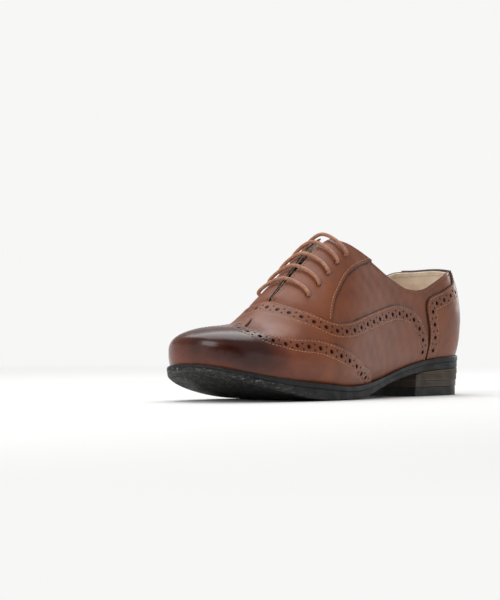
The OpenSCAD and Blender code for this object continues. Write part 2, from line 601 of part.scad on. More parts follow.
module rand() {
    color(charcoal) difference() {
        slab(full_stations, rand_margin, rand_low, rand_top);
        nail_holes();
    }
}
module outsole() {
    color(charcoal) difference() {
        slab(full_stations, outsole_margin, outsole_low, outsole_top);
        nail_holes();
    }
}

insole_margin = function(x) quarter_lining_in - glue - 0.4;
insole_low = function(x) feather_z(x) + 2;
insole_high = function(x) insole_low(x) + insole_t;
sock_low = function(x) insole_high(x) + 0.2;
sock_high = function(x) sock_low(x) + sock_t;
module insole_board() {
    color([0.7, 0.62, 0.5]) slab(full_stations, insole_margin, insole_low, insole_high);
}
module sock() {
    color(beige) slab(full_stations, insole_margin, sock_low, sock_high);
}
filler_margin = function(x) -10;
filler_low = function(x) feather_z(x) + 0.3;
filler_high = function(x) feather_z(x) + 1.7;
filler_start = 128;
filler_end = 222;
module bottom_filler() {
    color([0.62, 0.45, 0.3])
    slab([for (x = [filler_start:6:filler_end]) x * length_k], filler_margin, filler_low, filler_high);
}
shank_start = 36;
shank_end = 122;
module shank() {
    xs = [for (x = [shank_start:5:shank_end]) x * length_k];
    w = shank_w / 2;
    points = [for (x = xs) let (z = feather_z(x) + 0.4) each
        [[x, -w, z], [x, w, z], [x, w, z + shank_t], [x, -w, z + shank_t]]];
    color("silver") polyhedron(points, bar_faces(len(xs)));
}

// ---- stacked heel ----
lift_gap = 0.1;
function heel_outline(inset) = let (
        xs = concat([for (a = slice(cap_angles, 0, 6)) heel_x - (heel_x - heel_end) * sin(a)],
            [for (i = [1:4]) heel_x + (heel_length - heel_x) * i / 4]),
        m = function(x) heel_margin - edge_step - inset)
    concat([for (x = xs) [grow_x(x, m(x)), side_y(x, 1, m(x))]],
        flipped([for (x = xs) [grow_x(x, m(x)), side_y(x, -1, m(x))]]));
module heel_layer(z0, z1, inset) {
    translate([0, 0, z0]) linear_extrude(z1 - z0) polygon(heel_outline(inset));
}
lift_3_low = top_piece_t + lift_gap;
lift_2_low = lift_3_low + lift_t + lift_gap;
lift_1_low = lift_2_low + lift_t + lift_gap;
nail_low = top_piece_t + 0.2;
nail_high = lift_1_low + 6;
NAILS = [[14, 0], [26, 13], [26, -13], [48, 14], [48, -14]];
module nail_holes() {
    for (n = NAILS)
        translate([n[0] * heel_length / 66, n[1] * width_k, nail_low - 0.1])
        cylinder(r = nail_r + nail_clear, h = nail_high - nail_low + 0.2, $fn = 24);
}
module top_piece() {
    color(charcoal) heel_layer(0, top_piece_t, heel_step * 3);
}
module heel_lift_3() {
    color([0.25, 0.24, 0.23]) difference() {
        heel_layer(lift_3_low, lift_3_low + lift_t, heel_step * 2);
        nail_holes();
    }
}
module heel_lift_2() {
    color([0.25, 0.24, 0.23]) difference() {
        heel_layer(lift_2_low, lift_2_low + lift_t, heel_step);
        nail_holes();
    }
}
// the first lift is a wedge that fills up to the sloping outsole
module heel_lift_1() {
    xs = concat([for (x = full_stations) if (x < heel_length) x], [heel_length]);
    color([0.25, 0.24, 0.23]) difference() {
        slab(xs, function(x) heel_margin - edge_step, function(x) lift_1_low,
            function(x) outsole_low(x) - sole_layer_gap);
        nail_holes();
    }
}
module heel_nails() {
    color("silver")
    for (n = NAILS)
        translate([n[0] * heel_length / 66, n[1] * width_k, nail_low])
        cylinder(r = nail_r, h = nail_high - nail_low, $fn = 24);
}

// ---- the origin is the middle of the outline, on the floor ----
outline_xs = [for (i = [1:200]) last_length * i / 200];
function upper_side(x, side) = lookup(x, CENTRE)
    + side * cap_size(x) * (lookup(x, side > 0 ? WIDE_L : WIDE_M) + (x > 137 * length_k ? wing_out : 0));
widest_l = max([for (x = outline_xs) upper_side(x, 1)]);
widest_m = min([for (x = outline_xs) min(upper_side(x, -1), side_y(x, -1, rand_margin(x)))]);
rand_front = grow_x(toe_x + (toe_end - toe_x) * sin(88), toe_margin);
front_x = max(rand_front, last_length + wing_out);
module placed() {
    translate([-front_x / 2, -(widest_l + widest_m) / 2, 0]) children();
}

placed() wingtip();
placed() vamp();
placed() facing_lateral();
placed() facing_medial();
placed() quarter_lateral();
placed() quarter_medial();
placed() heel_counter_cover();
placed() toe_puff();
placed() vamp_backer();
placed() heel_stiffener();
placed() vamp_lining();
placed() quarter_lining_lateral();
placed() quarter_lining_medial();
placed() eyelets_lateral();
placed() eyelets_medial();
placed() lace();
placed() lace_tips();
placed() tongue();
placed() tongue_lining();
placed() sock();
placed() insole_board();
placed() shank();
placed() bottom_filler();
placed() rand();
placed() outsole();
placed() heel_lift_1();
placed() heel_lift_2();
placed() heel_lift_3();
placed() heel_nails();
placed() top_piece();
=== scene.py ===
"""Lace-up wingtip oxford shoe, left foot. All shapes are worked out on a last, in millimetres, in the
part's own design frame: x from the back of the heel to the toe, y to the outer side, z up from the
floor. mesh_object() shifts them to the frame's origin and turns them into metres."""
import math

import bpy
import numpy as np
from mathutils import Matrix, Vector
from mathutils.geometry import delaunay_2d_cdt
from mathutils.kdtree import KDTree


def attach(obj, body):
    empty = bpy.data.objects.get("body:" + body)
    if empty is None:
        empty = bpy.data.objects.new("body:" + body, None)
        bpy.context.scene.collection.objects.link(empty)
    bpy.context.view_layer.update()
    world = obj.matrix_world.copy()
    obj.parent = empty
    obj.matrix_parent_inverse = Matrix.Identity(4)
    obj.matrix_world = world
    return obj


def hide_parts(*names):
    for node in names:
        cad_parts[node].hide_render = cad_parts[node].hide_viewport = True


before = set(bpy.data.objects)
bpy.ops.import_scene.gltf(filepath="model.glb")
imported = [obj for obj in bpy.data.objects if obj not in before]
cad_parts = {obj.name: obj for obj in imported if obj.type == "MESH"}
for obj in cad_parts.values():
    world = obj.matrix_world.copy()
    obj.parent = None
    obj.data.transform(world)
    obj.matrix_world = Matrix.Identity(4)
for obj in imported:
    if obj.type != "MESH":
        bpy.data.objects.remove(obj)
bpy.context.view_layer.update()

# ---------------------------------------------------------------- the last, as in the CAD source
LAST_LENGTH = 258.7
HEEL_RISE = 18.2
TOE_SPRING = 15.0
BALL_HEIGHT = 9.3
BALL_X = 155.0
TOE_X = 212.0
TOE_LEN = LAST_LENGTH - TOE_X
HEEL_X = 34.0
CAP_POWER = 2.5
WALL_RUN = 95.0          # from ridge to feather over the wall
# [x, rise share, lateral half width, medial half width, centre line, bulge height, ridge height,
#  roundness, feather level, sole thickness under the feather]
STATIONS = np.array([
    [-10, 1.00, 31.0, 31.0,  0.0, 24.0, 78.5, 2.00, 0.45, 8.6],
    [ 20, 0.98, 31.5, 31.0,  0.0, 24.0, 81.0, 2.00, 0.45, 8.9],
    [ 50, 0.88, 31.5, 29.0,  0.0, 21.0, 86.0, 2.00, 0.45, 8.4],
    [ 80, 0.62, 33.0, 26.0,  0.0, 17.0, 91.5, 2.00, 0.45, 7.1],
    [110, 0.26, 37.0, 27.0,  0.0, 14.5, 96.0, 2.00, 0.45, 6.9],
    [140, 0.02, 42.5, 33.0,  0.0, 12.0, 93.0, 1.95, 0.45, 9.1],
    [155, 0.00, 44.8, 37.0,  0.0, 11.5, 82.5, 1.90, 0.45, 9.3],
    [170, 0.07, 45.5, 40.5,  0.0, 11.0, 69.5, 1.85, 0.43, 10.35],
    [185, 0.17, 44.3, 41.0, -1.0, 10.5, 55.0, 1.85, 0.38, 11.0],
    [200, 0.26, 42.0, 40.5, -2.5, 10.0, 41.5, 1.95, 0.33, 10.3],
    [215, 0.39, 39.2, 39.5, -4.0, 10.0, 33.6, 2.25, 0.30, 8.9],
    [235, 0.62, 35.7, 36.7, -6.0, 10.0, 30.0, 2.30, 0.30, 6.6],
    [272, 1.33, 32.7, 34.2, -9.0, 10.0, 22.0, 2.30, 0.30, 3.6]])


def column(k):
    """A natural cubic spline through one column of STATIONS."""
    xs, ys = STATIONS[:, 0], STATIONS[:, k]
    n, h = len(xs), np.diff(xs)
    a, b = np.eye(n), np.zeros(n)
    for j in range(1, n - 1):
        a[j, j - 1:j + 2] = h[j - 1], 2 * (h[j - 1] + h[j]), h[j]
        b[j] = 6 * ((ys[j + 1] - ys[j]) / h[j] - (ys[j] - ys[j - 1]) / h[j - 1])
    m = np.linalg.solve(a, b)

    def value(x):
        x = np.asarray(x, float)
        j = np.clip(np.searchsorted(xs, x) - 1, 0, n - 2)
        u = (xs[j + 1] - x) / h[j]
        v = 1 - u
        return u * ys[j] + v * ys[j + 1] + ((u**3 - u) * m[j] + (v**3 - v) * m[j + 1]) * h[j]**2 / 6
    return value


RISE, WIDE_L, WIDE_M, CENTRE, BULGE, RIDGE, ROUND, LEVEL, SOLE = [column(k) for k in range(1, 10)]


def feather_z(x):
    return BALL_HEIGHT + RISE(x) * np.where(np.asarray(x) < BALL_X, HEEL_RISE, TOE_SPRING)


def cap_share(x):
    x = np.asarray(x, float)
    return np.where(x > TOE_X, (x - TOE_X) / TOE_LEN, np.where(x < HEEL_X, (HEEL_X - x) / HEEL_X, 0))


def cap_size(x):
    return np.maximum(0, 1 - np.minimum(1, cap_share(x))**CAP_POWER)**(1 / CAP_POWER)


def settle(c):
    """Moves places [x, side share, height share] onto the last."""
    c = np.asarray(c, float)
    x, p, q = c[..., 0], c[..., 1], c[..., 2]
    n, k = ROUND(x), cap_share(x)
    g = (np.abs(p)**n + np.abs(q)**n)**(1 / n)
    r = (k**CAP_POWER + g**CAP_POWER)**(1 / CAP_POWER)
    x1 = np.where(k == 0, x, np.where(x > TOE_X, TOE_X + TOE_LEN * k / r, HEEL_X - HEEL_X * k / r))
    return np.stack([x1, p / r, q / r], -1)


def grown(c, o):
    """Points in millimetres of places on the last grown by o."""
    c = np.asarray(c, float)
    x, p, q = c[..., 0], c[..., 1], c[..., 2]
    zb = BULGE(x)
    half = np.where(p > 0, WIDE_L(x), WIDE_M(x)) + o
    up = RIDGE(x) + o - zb
    gx = np.where(x > TOE_X, x + o * cap_share(x), np.where(x < HEEL_X, x - o * cap_share(x), x))
    gz = feather_z(x) + zb + np.where(q > 0, up, zb / LEVEL(x)) * q
    return np.stack([gx, CENTRE(x) + half * p, gz], -1)


def skin(c, o):
    return grown(settle(c), o)


def feather_angle(x):
    n, c = ROUND(x), np.minimum(1, LEVEL(x) / np.maximum(cap_size(x), 0.001))
    return np.arctan2((1 - c**n)**(1 / n), -c)


def on(x, t):
    """The place at distance x along the last and share t of the way from ridge to feather."""
    x, t = np.broadcast_arrays(np.asarray(x, float), np.asarray(t, float))
    a, n, e = t * feather_angle(x), ROUND(x), cap_size(x)
    g = (np.abs(np.sin(a))**n + np.abs(np.cos(a))**n)**(1 / n)
    return np.stack([x, e * np.sin(a) / g, e * np.cos(a) / g], -1)


def share_of(c):
    """The share t of a place, the inverse of on()."""
    return np.arctan2(c[..., 1], c[..., 2]) / feather_angle(c[..., 0])


def reach(points, o=0.0):
    """1 on the last grown by o, less inside, more outside; with the place of each point."""
    px, py, pz = points[..., 0], points[..., 1], points[..., 2]
    toe = (px + o * TOE_X / TOE_LEN) / (1 + o / TOE_LEN)
    heel = (px + o) / (1 + o / HEEL_X)
    x = np.where(px > TOE_X, toe, np.where(px < HEEL_X, heel, px))
    zb = BULGE(x)
    p = (py - CENTRE(x)) / (np.where(py > CENTRE(x), WIDE_L(x), WIDE_M(x)) + o)
    h = pz - feather_z(x) - zb
    q = h / np.where(h > 0, RIDGE(x) + o - zb, zb / LEVEL(x))
    n, k = ROUND(x), cap_share(x)
    g = (np.abs(p)**n + np.abs(q)**n + 1e-12)**(1 / n)
    return (k**CAP_POWER + g**CAP_POWER)**(1 / CAP_POWER), np.stack([x, p, q], -1)


def slope(points, o=0.0):
    """Gradient of reach()."""
    e = 0.02
    out = np.zeros_like(points)
    for k in range(3):
        step = np.zeros(3)
        step[k] = e
        out[..., k] = (reach(points + step, o)[0] - reach(points - step, o)[0]) / (2 * e)
    return out


def normals(points, o=0.0):
    g = slope(points, o)
    return g / np.linalg.norm(g, axis=-1, keepdims=True)


def pulled(points, o=0.0):
    """Points moved onto the last grown by o."""
    for _ in range(4):
        g = slope(points, o)
        f = reach(points, o)[0] - 1
        points = points - f[..., None] * g / np.sum(g * g, -1, keepdims=True)
    return points


def feather_share(x):
    n = ROUND(x)
    return np.maximum(0, cap_size(x)**n - LEVEL(x)**n)**(1 / n)


def cap_end(level):
    return (1 - level**CAP_POWER)**(1 / CAP_POWER)


TOE_END = TOE_X + TOE_LEN * cap_end(LEVEL(LAST_LENGTH))
HEEL_END = HEEL_X - HEEL_X * cap_end(LEVEL(0.0))
TUCK = 1.12              # how far below the feather level the upper runs on behind the rand


def feather_run(x0, x1, side, n=40):
    """Places along the lower edge of the upper, from x0 to x1; the ends lie on the centre line."""
    x = x0 + (x1 - x0) * (1 - np.cos(np.linspace(0, math.pi, n))) / 2
    x = np.clip(x, HEEL_END, TOE_END)
    return settle(np.stack([x, side * feather_share(x), -TUCK * LEVEL(x)], -1))


def back_line(q):
    q = np.asarray(q, float)
    x = HEEL_X - HEEL_X * (1 - np.abs(q)**CAP_POWER)**(1 / CAP_POWER)
    return np.stack([x, 0 * q, q], -1)


# ---------------------------------------------------------------- curves on the last
def arc_lengths(p):
    return np.concatenate([[0], np.cumsum(np.linalg.norm(np.diff(p, axis=0), axis=1))])


def even(p, step, closed=False):
    """The polyline p again, with points every step."""
    if closed:
        p = np.vstack([p, p[:1]])
    s = arc_lengths(p)
    n = max(2, int(round(s[-1] / step)) + 1)
    u = np.linspace(0, s[-1], n)
    out = np.stack([np.interp(u, s, p[:, k]) for k in range(p.shape[1])], -1)
    return out[:-1] if closed else out


def smooth(points, per=12):
    """A Catmull-Rom curve through the points."""
    p = np.asarray(points, float)
    p = np.vstack([2 * p[0] - p[1], p, 2 * p[-1] - p[-2]])
    out = []
    for i in range(1, len(p) - 2):
        a, b, c, d = p[i - 1:i + 3]
        ta, tb = np.linalg.norm(b - a)**0.5, np.linalg.norm(c - b)**0.5
        tc = np.linalg.norm(d - c)**0.5
        m1 = (c - b) + tb * ((b - a) / ta - (c - a) / (ta + tb))
        m2 = (c - b) + tb * ((d - c) / tc - (d - b) / (tb + tc))
        for u in np.arange(per) / per:
            out.append((2 * u**3 - 3 * u**2 + 1) * b + (u**3 - 2 * u**2 + u) * m1
                       + (3 * u**2 - 2 * u**3) * c + (u**3 - u**2) * m2)
    return np.array(out + [p[-2]])


def wall_curve(points, side=1):
    """Points on the last along a smooth curve through [x, t]."""
    q = smooth(np.asarray(points, float) * [1, WALL_RUN]) / [1, WALL_RUN]
    return grown(on(q[:, 0], side * q[:, 1]), 0)


# Edges as [x, share from ridge to feather]. Most of these points were read off the photograph as
# pixels and projected onto the last by a scratch script, which printed them.
TOPLINE = [[9, 0.30], [16, 0.403], [23.2, 0.45], [31.5, 0.49], [41.5, 0.525], [55.6, 0.555],
           [66.4, 0.548], [77.1, 0.52], [85.9, 0.48], [97.1, 0.415], [106.9, 0.335]]
FACING_TOP = [[106.9, 0.335], [115.2, 0.265], [122, 0.185], [128.6, 0.1]]
FACING_REAR = [[106.9, 0.335], [116.1, 0.34], [130.8, 0.345], [142.5, 0.355], [151.3, 0.375],
               [159.6, 0.405], [165.4, 0.455], [168.3, 0.49], [171.5, 0.55]]
VAMP_EDGE = [[54.4, 1.01], [54.4, 0.93], [54.2, 0.885], [57.6, 0.785], [62.5, 0.715], [70.3, 0.655],
             [81, 0.615], [91.7, 0.59], [107.8, 0.58], [131.3, 0.575], [151.3, 0.56], [166.9, 0.52],
             [172.8, 0.48], [178.5, 0.41], [184.5, 0.28], [187.2, 0.14], [187.4, 0]]
WING_EDGE = [[126, 1.01], [129, 0.93], [137.6, 0.812], [151.3, 0.728], [165, 0.678], [179.1, 0.627],
             [189.4, 0.578], [201.1, 0.522], [214.7, 0.45], [222.6, 0.357], [224.3, 0.26],
             [222.1, 0.175], [218.7, 0.125], [211, 0.06], [203, 0]]
COUNTER_EDGE = [[52.8, 1.01], [53, 0.93], [52.3, 0.86], [53, 0.77], [54.4, 0.705], [54.8, 0.655],
                [52.5, 0.622], [45.9, 0.605], [35.5, 0.59], [25, 0.555], [19.2, 0.52], [16.6, 0.46],
                [15.6, 0.4]]
TOP_BACK_SHARE = 0.637
FACING_GAP = 5.2
GAP_FOOT = 0.8
THROAT_X = 187.0


def wall_loop(points, mirror=True):
    """The seam through [x, t] from the outer feather over the ridge or the back to the inner one."""
    outer = wall_curve(points)
    return np.vstack([outer, wall_curve(points, -1)[::-1][1:]]) if mirror else outer


def place(points):
    return settle(reach(points)[1])


def beside(curve, d, step=0.9):
    """The curve on the last at distance d beside a curve, on the side of normal x tangent."""
    c = even(curve, step)
    t = np.gradient(c, axis=0)
    w = np.cross(normals(c), t)
    w /= np.linalg.norm(w, axis=1, keepdims=True)
    q = pulled(c + d * w)
    return q[nearest(c, q)[0] > 0.96 * abs(d)]


def nearest(points, queries):
    """Distance to, and index of, the nearest of the points."""
    tree = KDTree(len(points))
    for i, p in enumerate(points):
        tree.insert(p, i)
    tree.balance()
    found = [tree.find(q) for q in queries]
    return np.array([f[2] for f in found]), np.array([f[1] for f in found])


# ---------------------------------------------------------------- flat charts of the last
BACK_RUN = 44.0
HEIGHT_RUN = 58.0
TOE_EYE = np.array([198.0, -2.5, 22.0])
TOE_RUN = 48.0


def side_chart(c):
    return np.stack([c[..., 0], share_of(c) * WALL_RUN], -1)


def side_place(uv):
    return on(uv[:, 0], uv[:, 1] / WALL_RUN)


def back_chart(c):
    x, p, q = c[..., 0], c[..., 1], c[..., 2]
    turn = np.arctan2(np.abs(p), cap_share(x)) * 2 / math.pi
    w = np.where(x < HEEL_X, BACK_RUN * turn, BACK_RUN + x - HEEL_X)
    return np.stack([w * np.sign(p), HEIGHT_RUN * np.arccos(np.clip(q, -1, 1))], -1)


def back_place(uv):
    w, q = np.abs(uv[:, 0]), np.cos(uv[:, 1] / HEIGHT_RUN)
    a = np.minimum(1, w / BACK_RUN) * math.pi / 2
    low, high = np.zeros(len(w)), np.ones(len(w)) * 1.2
    for _ in range(40):
        mid = (low + high) / 2
        k, p = mid * np.cos(a), mid * np.sin(a)
        n = ROUND(HEEL_X - HEEL_X * k)
        r = k**CAP_POWER + (p**n + np.abs(q)**n)**(CAP_POWER / n)
        low, high = np.where(r < 1, mid, low), np.where(r < 1, high, mid)
    x = HEEL_X - HEEL_X * low * np.cos(a) + np.maximum(0, w - BACK_RUN)
    return settle(np.stack([x, np.sign(uv[:, 0]) * low * np.sin(a), q], -1))


def toe_chart(c):
    d = grown(c, 0) - TOE_EYE
    d /= np.linalg.norm(d, axis=-1, keepdims=True)
    flat = np.linalg.norm(d[..., :2], axis=-1, keepdims=True)
    return TOE_RUN * np.arccos(np.clip(d[..., 2:], -1, 1)) * d[..., :2] / np.maximum(flat, 1e-9)


def toe_place(uv):
    a = np.linalg.norm(uv, axis=1) / TOE_RUN
    flat = uv / np.maximum(np.linalg.norm(uv, axis=1, keepdims=True), 1e-9)
    d = np.column_stack([flat * np.sin(a)[:, None], np.cos(a)])
    low, high = np.zeros(len(a)), np.ones(len(a)) * 120
    for _ in range(40):
        mid = (low + high) / 2
        r = reach(TOE_EYE + mid[:, None] * d)[0]
        low, high = np.where(r < 1, mid, low), np.where(r < 1, high, mid)
    return place(TOE_EYE + low[:, None] * d)


SIDE, BACK, TOE = (side_chart, side_place), (back_chart, back_place), (toe_chart, toe_place)


def inside(poly, pts):
    """Which points lie in the polygon."""
    odd = np.zeros(len(pts), bool)
    for a, b in zip(poly, np.roll(poly, -1, 0)):
        cross = (a[1] > pts[:, 1]) != (b[1] > pts[:, 1])
        if a[1] != b[1]:
            odd ^= cross & (pts[:, 0] < (b[0] - a[0]) * (pts[:, 1] - a[1]) / (b[1] - a[1]) + a[0])
    return odd


# ---------------------------------------------------------------- meshes
MM = 0.001
SHIFT = np.array([130.623, 0.568, 0.0])


def mesh_object(name, points, faces, material, body="shoe", replaces=(), sharp=50, fields=None):
    """A piece in the frame from points in design millimetres."""
    mesh = bpy.data.meshes.new(name)
    mesh.from_pydata(((np.asarray(points, float) - SHIFT) * MM).tolist(), [], [list(f) for f in faces])
    mesh.validate()
    for key, values in (fields or {}).items():
        mesh.attributes.new(key, "FLOAT", "POINT").data.foreach_set("value", np.asarray(values, np.float32))
    mesh.shade_smooth()
    mesh.set_sharp_from_angle(angle=math.radians(sharp))
    mesh.materials.append(material)
    piece = bpy.data.objects.new(name, mesh)
    bpy.context.scene.collection.objects.link(piece)
    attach(piece, body)
    if replaces:
        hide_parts(*replaces)
    return piece


RIM_ROUND = 0.5
SEAM_RINGS = [0.12, 0.3, 0.5, 0.85, 1.25, 1.65, 2.1, 2.6, 3.1, 3.7]
BAND_RINGS = SEAM_RINGS + [9.0, 9.45, 9.9]


def smoothstep(k):
    k = np.clip(k, 0, 1)
    return k * k * (3 - 2 * k)


def cut_sheet(parts, chart, rings, spacing, holes=()):
    """Triangulates the piece inside the closed outline of parts. Returns places, triangles and
    each point's distance from the outline; holes is a list of (centre, radius)."""
    flat, back = chart
    border = pulled(np.vstack([even(p, 0.9)[:-1] for p in parts]))
    poly = flat(place(border))
    across = np.cross(normals(border), np.roll(border, -1, 0) - np.roll(border, 1, 0))
    across /= np.linalg.norm(across, axis=1, keepdims=True)
    if inside(poly, flat(place(pulled(border + 0.4 * across)))).mean() < 0.5:
        across = -across
    soft = []
    for d in rings:
        q = pulled(border + d * across)
        soft.append(q[inside(poly, flat(place(q))) & (nearest(border, q)[0] > 0.93 * d)])
    centres = np.array([h[0] for h in holes]).reshape(-1, 3)
    radii = np.array([h[1] for h in holes])
    circles, lips = [], []
    for c, r in holes:
        n = normals(c[None])[0]
        u = np.cross(n, [0.0, 0.3, 1.0])
        u /= np.linalg.norm(u)
        a = np.arange(16 if r > 0.8 else 10) * 2 * math.pi / (16 if r > 0.8 else 10)
        ring = np.cos(a)[:, None] * u + np.sin(a)[:, None] * np.cross(n, u)
        circles.append(pulled(c + r * ring))
        lips.append(pulled(c + (r + 0.22) * ring))
        lips.append(pulled(c + (r + 0.55) * ring))
    soft = np.vstack(soft) if soft else np.zeros((0, 3))
    if holes:
        d, i = nearest(centres, soft)
        soft = soft[d > radii[i] + 0.85]
    fixed = np.vstack([border] + circles)
    loose = np.vstack([soft] + lips)
    low, high = poly.min(0), poly.max(0)
    rows_at = np.arange(low[1], high[1], spacing * 0.87)
    grid = [(x + (j % 2) * spacing / 2, y) for j, y in enumerate(rows_at)
            for x in np.arange(low[0], high[0], spacing)]
    grid = np.array(grid)
    grid = grid[inside(poly, grid)]
    body = grown(back(grid), 0)
    body = body[nearest(np.vstack([fixed, loose]), body)[0] > 0.62 * spacing]
    if holes:
        d, i = nearest(centres, body)
        body = body[d > radii[i] + 0.6]
    points = np.vstack([fixed, loose, body])
    uv = flat(place(points))
    nb = len(border)
    edges = [(i, (i + 1) % nb) for i in range(nb)]
    at = nb
    for c in circles:
        edges += [(at + i, at + (i + 1) % len(c)) for i in range(len(c))]
        at += len(c)
    out = delaunay_2d_cdt([Vector(p) for p in uv], edges, [], 0, 1e-7, True)
    made = np.array([v[:] for v in out[0]])
    source = np.array([o[0] if o else -1 for o in out[3]])
    where = np.zeros((len(made), 3))
    where[source >= 0] = place(points)[source[source >= 0]]
    if (source < 0).any():
        where[source < 0] = back(made[source < 0])
    tris = np.array([f for f in out[2] if len(f) == 3])
    middle = made[tris].mean(1)
    keep = inside(poly, middle)
    if holes:
        d, i = nearest(centres, grown(back(middle), 0))
        keep &= d > radii[i] * 0.9
    tris = tris[keep]
    used = np.unique(tris)
    renumber = -np.ones(len(made), int)
    renumber[used] = np.arange(len(used))
    where, tris = where[used], renumber[tris]
    p0 = grown(where, 0)
    facing = np.cross(p0[tris[:, 1]] - p0[tris[:, 0]], p0[tris[:, 2]] - p0[tris[:, 0]])
    turned = np.sum(facing * normals(p0[tris].mean(1)), -1) < 0
    tris[turned] = tris[turned][:, ::-1]
    lip = np.full(len(where), 9.0)
    if holes:
        d, i = nearest(centres, p0)
        lip = d - radii[i]
    return where, tris, nearest(border, p0)[0], lip


def thick(where, tris, inner, outer):
    """A closed sheet between two offsets from the last, given for each place."""
    n = len(where)
    edges = np.vstack([tris[:, [0, 1]], tris[:, [1, 2]], tris[:, [2, 0]]])
    known = set(map(tuple, edges))
    rim = [(a, b) for a, b in edges if (b, a) not in known]
    points = np.vstack([grown(where, outer), grown(where, inner)])
    faces = tris.tolist() + (tris[:, ::-1] + n).tolist() + [[b, a, a + n, b + n] for a, b in rim]
    return points, faces


def rim_drop(d):
    """How far the top of a sheet falls away towards its edge."""
    k = np.clip(1 - d / RIM_ROUND, 0, 1)
    return RIM_ROUND * (1 - np.sqrt(1 - k * k * 0.98))


def seam_dip(points, lines, depth=0.16, width=0.42):
    dip = np.zeros(len(points))
    for line in lines:
        d = nearest(even(line, 0.5), points)[0]
        dip = np.maximum(dip, depth * np.exp(-(d / width)**2))
    return dip


def uneven(points):
    """The slight unevenness of leather pulled over a last."""
    x, y, z = points[:, 0], points[:, 1], points[:, 2]
    return 0.07 * np.sin(0.31 * x + 0.17 * y + 2) * np.sin(0.23 * z - 0.21 * x) \
        + 0.05 * np.sin(0.11 * x - 0.37 * z + 1) + 0.03 * np.sin(0.63 * x + 0.55 * z + 0.4 * y)


def burnish_of(points):
    """How far the leather is burnished: dark at the toe, a little along the sole and the back."""
    x, y, z = points.T
    low = z - feather_z(np.clip(x, 0, LAST_LENGTH))
    toe = smoothstep((x - 192 + 0.3 * np.abs(y + 5) - 0.1 * low) / 62)
    side = np.exp(-((x - 232) / 16)**2 - ((np.abs(y + 6) - 30) / 11)**2)
    edge = np.exp(-np.maximum(low, 0) / 8)
    inner = 1 - 0.35 * smoothstep((-y - 2) / 26)
    return np.clip((0.85 * toe * inner + 0.25 * side) * (1 - 0.5 * edge) + 0.15 * edge, 0, 1)


# painted shade on the underside of every leather piece, which also darkens the walls of punched holes
UNDERSIDE_SHADE = 0.55


def covered_by(where, seam):
    """How far each place lies under the piece behind seam: above 0 under it, in millimetres."""
    d, i = nearest(seam, grown(where, 0))
    t = np.gradient(seam, axis=0)
    w = np.cross(normals(seam), t)
    return d * np.sign(np.sum((grown(where, 0) - seam[i]) * w[i], -1))


def leather_piece(name, parts, chart, inner, outer, material, replaces, holes=(), lines=(),
                  rings=SEAM_RINGS, spacing=1.9, under=(), sink=None, body="shoe"):
    """A piece of leather: outline parts, stitched lines, punched holes, and what lies over it."""
    where, tris, rim, lip = cut_sheet(parts, chart, rings, spacing, holes)
    p0 = grown(where, 0)
    drop = rim_drop(rim) + 0.1 * np.exp(-(np.maximum(lip, 0) / 0.18)**2) + seam_dip(p0, lines)
    shift = np.zeros(len(where)) if sink is None else sink(where)
    # painted shade: leather under an overlapping piece is darkened, and the darkening reaches about 1 mm out
    # past that piece's edge as a painted shadow line
    hidden = np.zeros(len(where))
    for seam, side in under:
        hidden = np.maximum(hidden, smoothstep((covered_by(where, seam) * side + 0.95) / 1.0))
    top = outer - drop + shift + uneven(p0) * (1 - hidden)
    points, faces = thick(where, tris, np.full(len(where), inner) + shift, top)
    pair = lambda a, b: np.concatenate([a, b])
    n = len(where)
    # painted shade also rings each punched hole, where the hole's recess would be in shade
    shade = np.maximum(hidden, np.exp(-(np.maximum(lip, 0) / 0.35)**2) * 0.5)
    fields = {"rim": pair(np.minimum(rim, 9), np.zeros(n)), "burnish": pair(burnish_of(p0), burnish_of(p0)),
              "shade": pair(shade, np.full(n, UNDERSIDE_SHADE))}
    return mesh_object(name, points, faces, material, body, replaces, fields=fields)


# ---------------------------------------------------------------- stitches and punching
STITCH = 1.85
STITCH_PITCH = 2.45


def stitches(name, curves, level, material, length=STITCH, pitch=STITCH_PITCH, body="shoe"):
    """Rows of stitches along curves on the last, lying on a sheet whose top is at level."""
    rings, sides = 7, 8
    u = np.linspace(-1, 1, rings)
    fat = np.sqrt(np.maximum(0, 1 - np.abs(u)**2.6)) * 0.9 + 0.1
    a = np.arange(sides) * 2 * math.pi / sides
    points, faces = [], []
    for curve in curves:
        c = even(curve, pitch)
        mid = (c[1:] + c[:-1]) / 2
        run = c[1:] - c[:-1]
        size = np.linalg.norm(run, axis=1)
        ok = size < 1.6 * pitch
        mid, run = mid[ok], run[ok] / size[ok][:, None]
        n = normals(mid)
        mid = grown(place(mid), level)
        w = np.cross(n, run)
        for m, t, s, nn in zip(mid, run, w, n):
            base = len(points) * rings * sides
            ring = [m + t * length / 2 * uu - nn * 0.2 * uu * uu
                    + f * (0.32 * np.outer(np.cos(a + 0.5 * uu), s)
                           + 0.24 * np.outer(np.sin(a + 0.5 * uu), nn)) for uu, f in zip(u, fat)]
            points.append(np.vstack(ring))
            for i in range(rings - 1):
                for k in range(sides):
                    b = (k + 1) % sides
                    faces.append([base + i * sides + k, base + i * sides + b,
                                  base + (i + 1) * sides + b, base + (i + 1) * sides + k])
            faces.append([base + k for k in range(sides)][::-1])
            faces.append([base + (rings - 1) * sides + k for k in range(sides)])
    return mesh_object(name, np.vstack(points), faces, material, body, sharp=80)


PUNCH_LINE = 5.7
PUNCH_PITCH = 8.9
BIG_HOLE = 1.42
PIN_HOLE = 0.6
PIN_SPREAD = 1.95


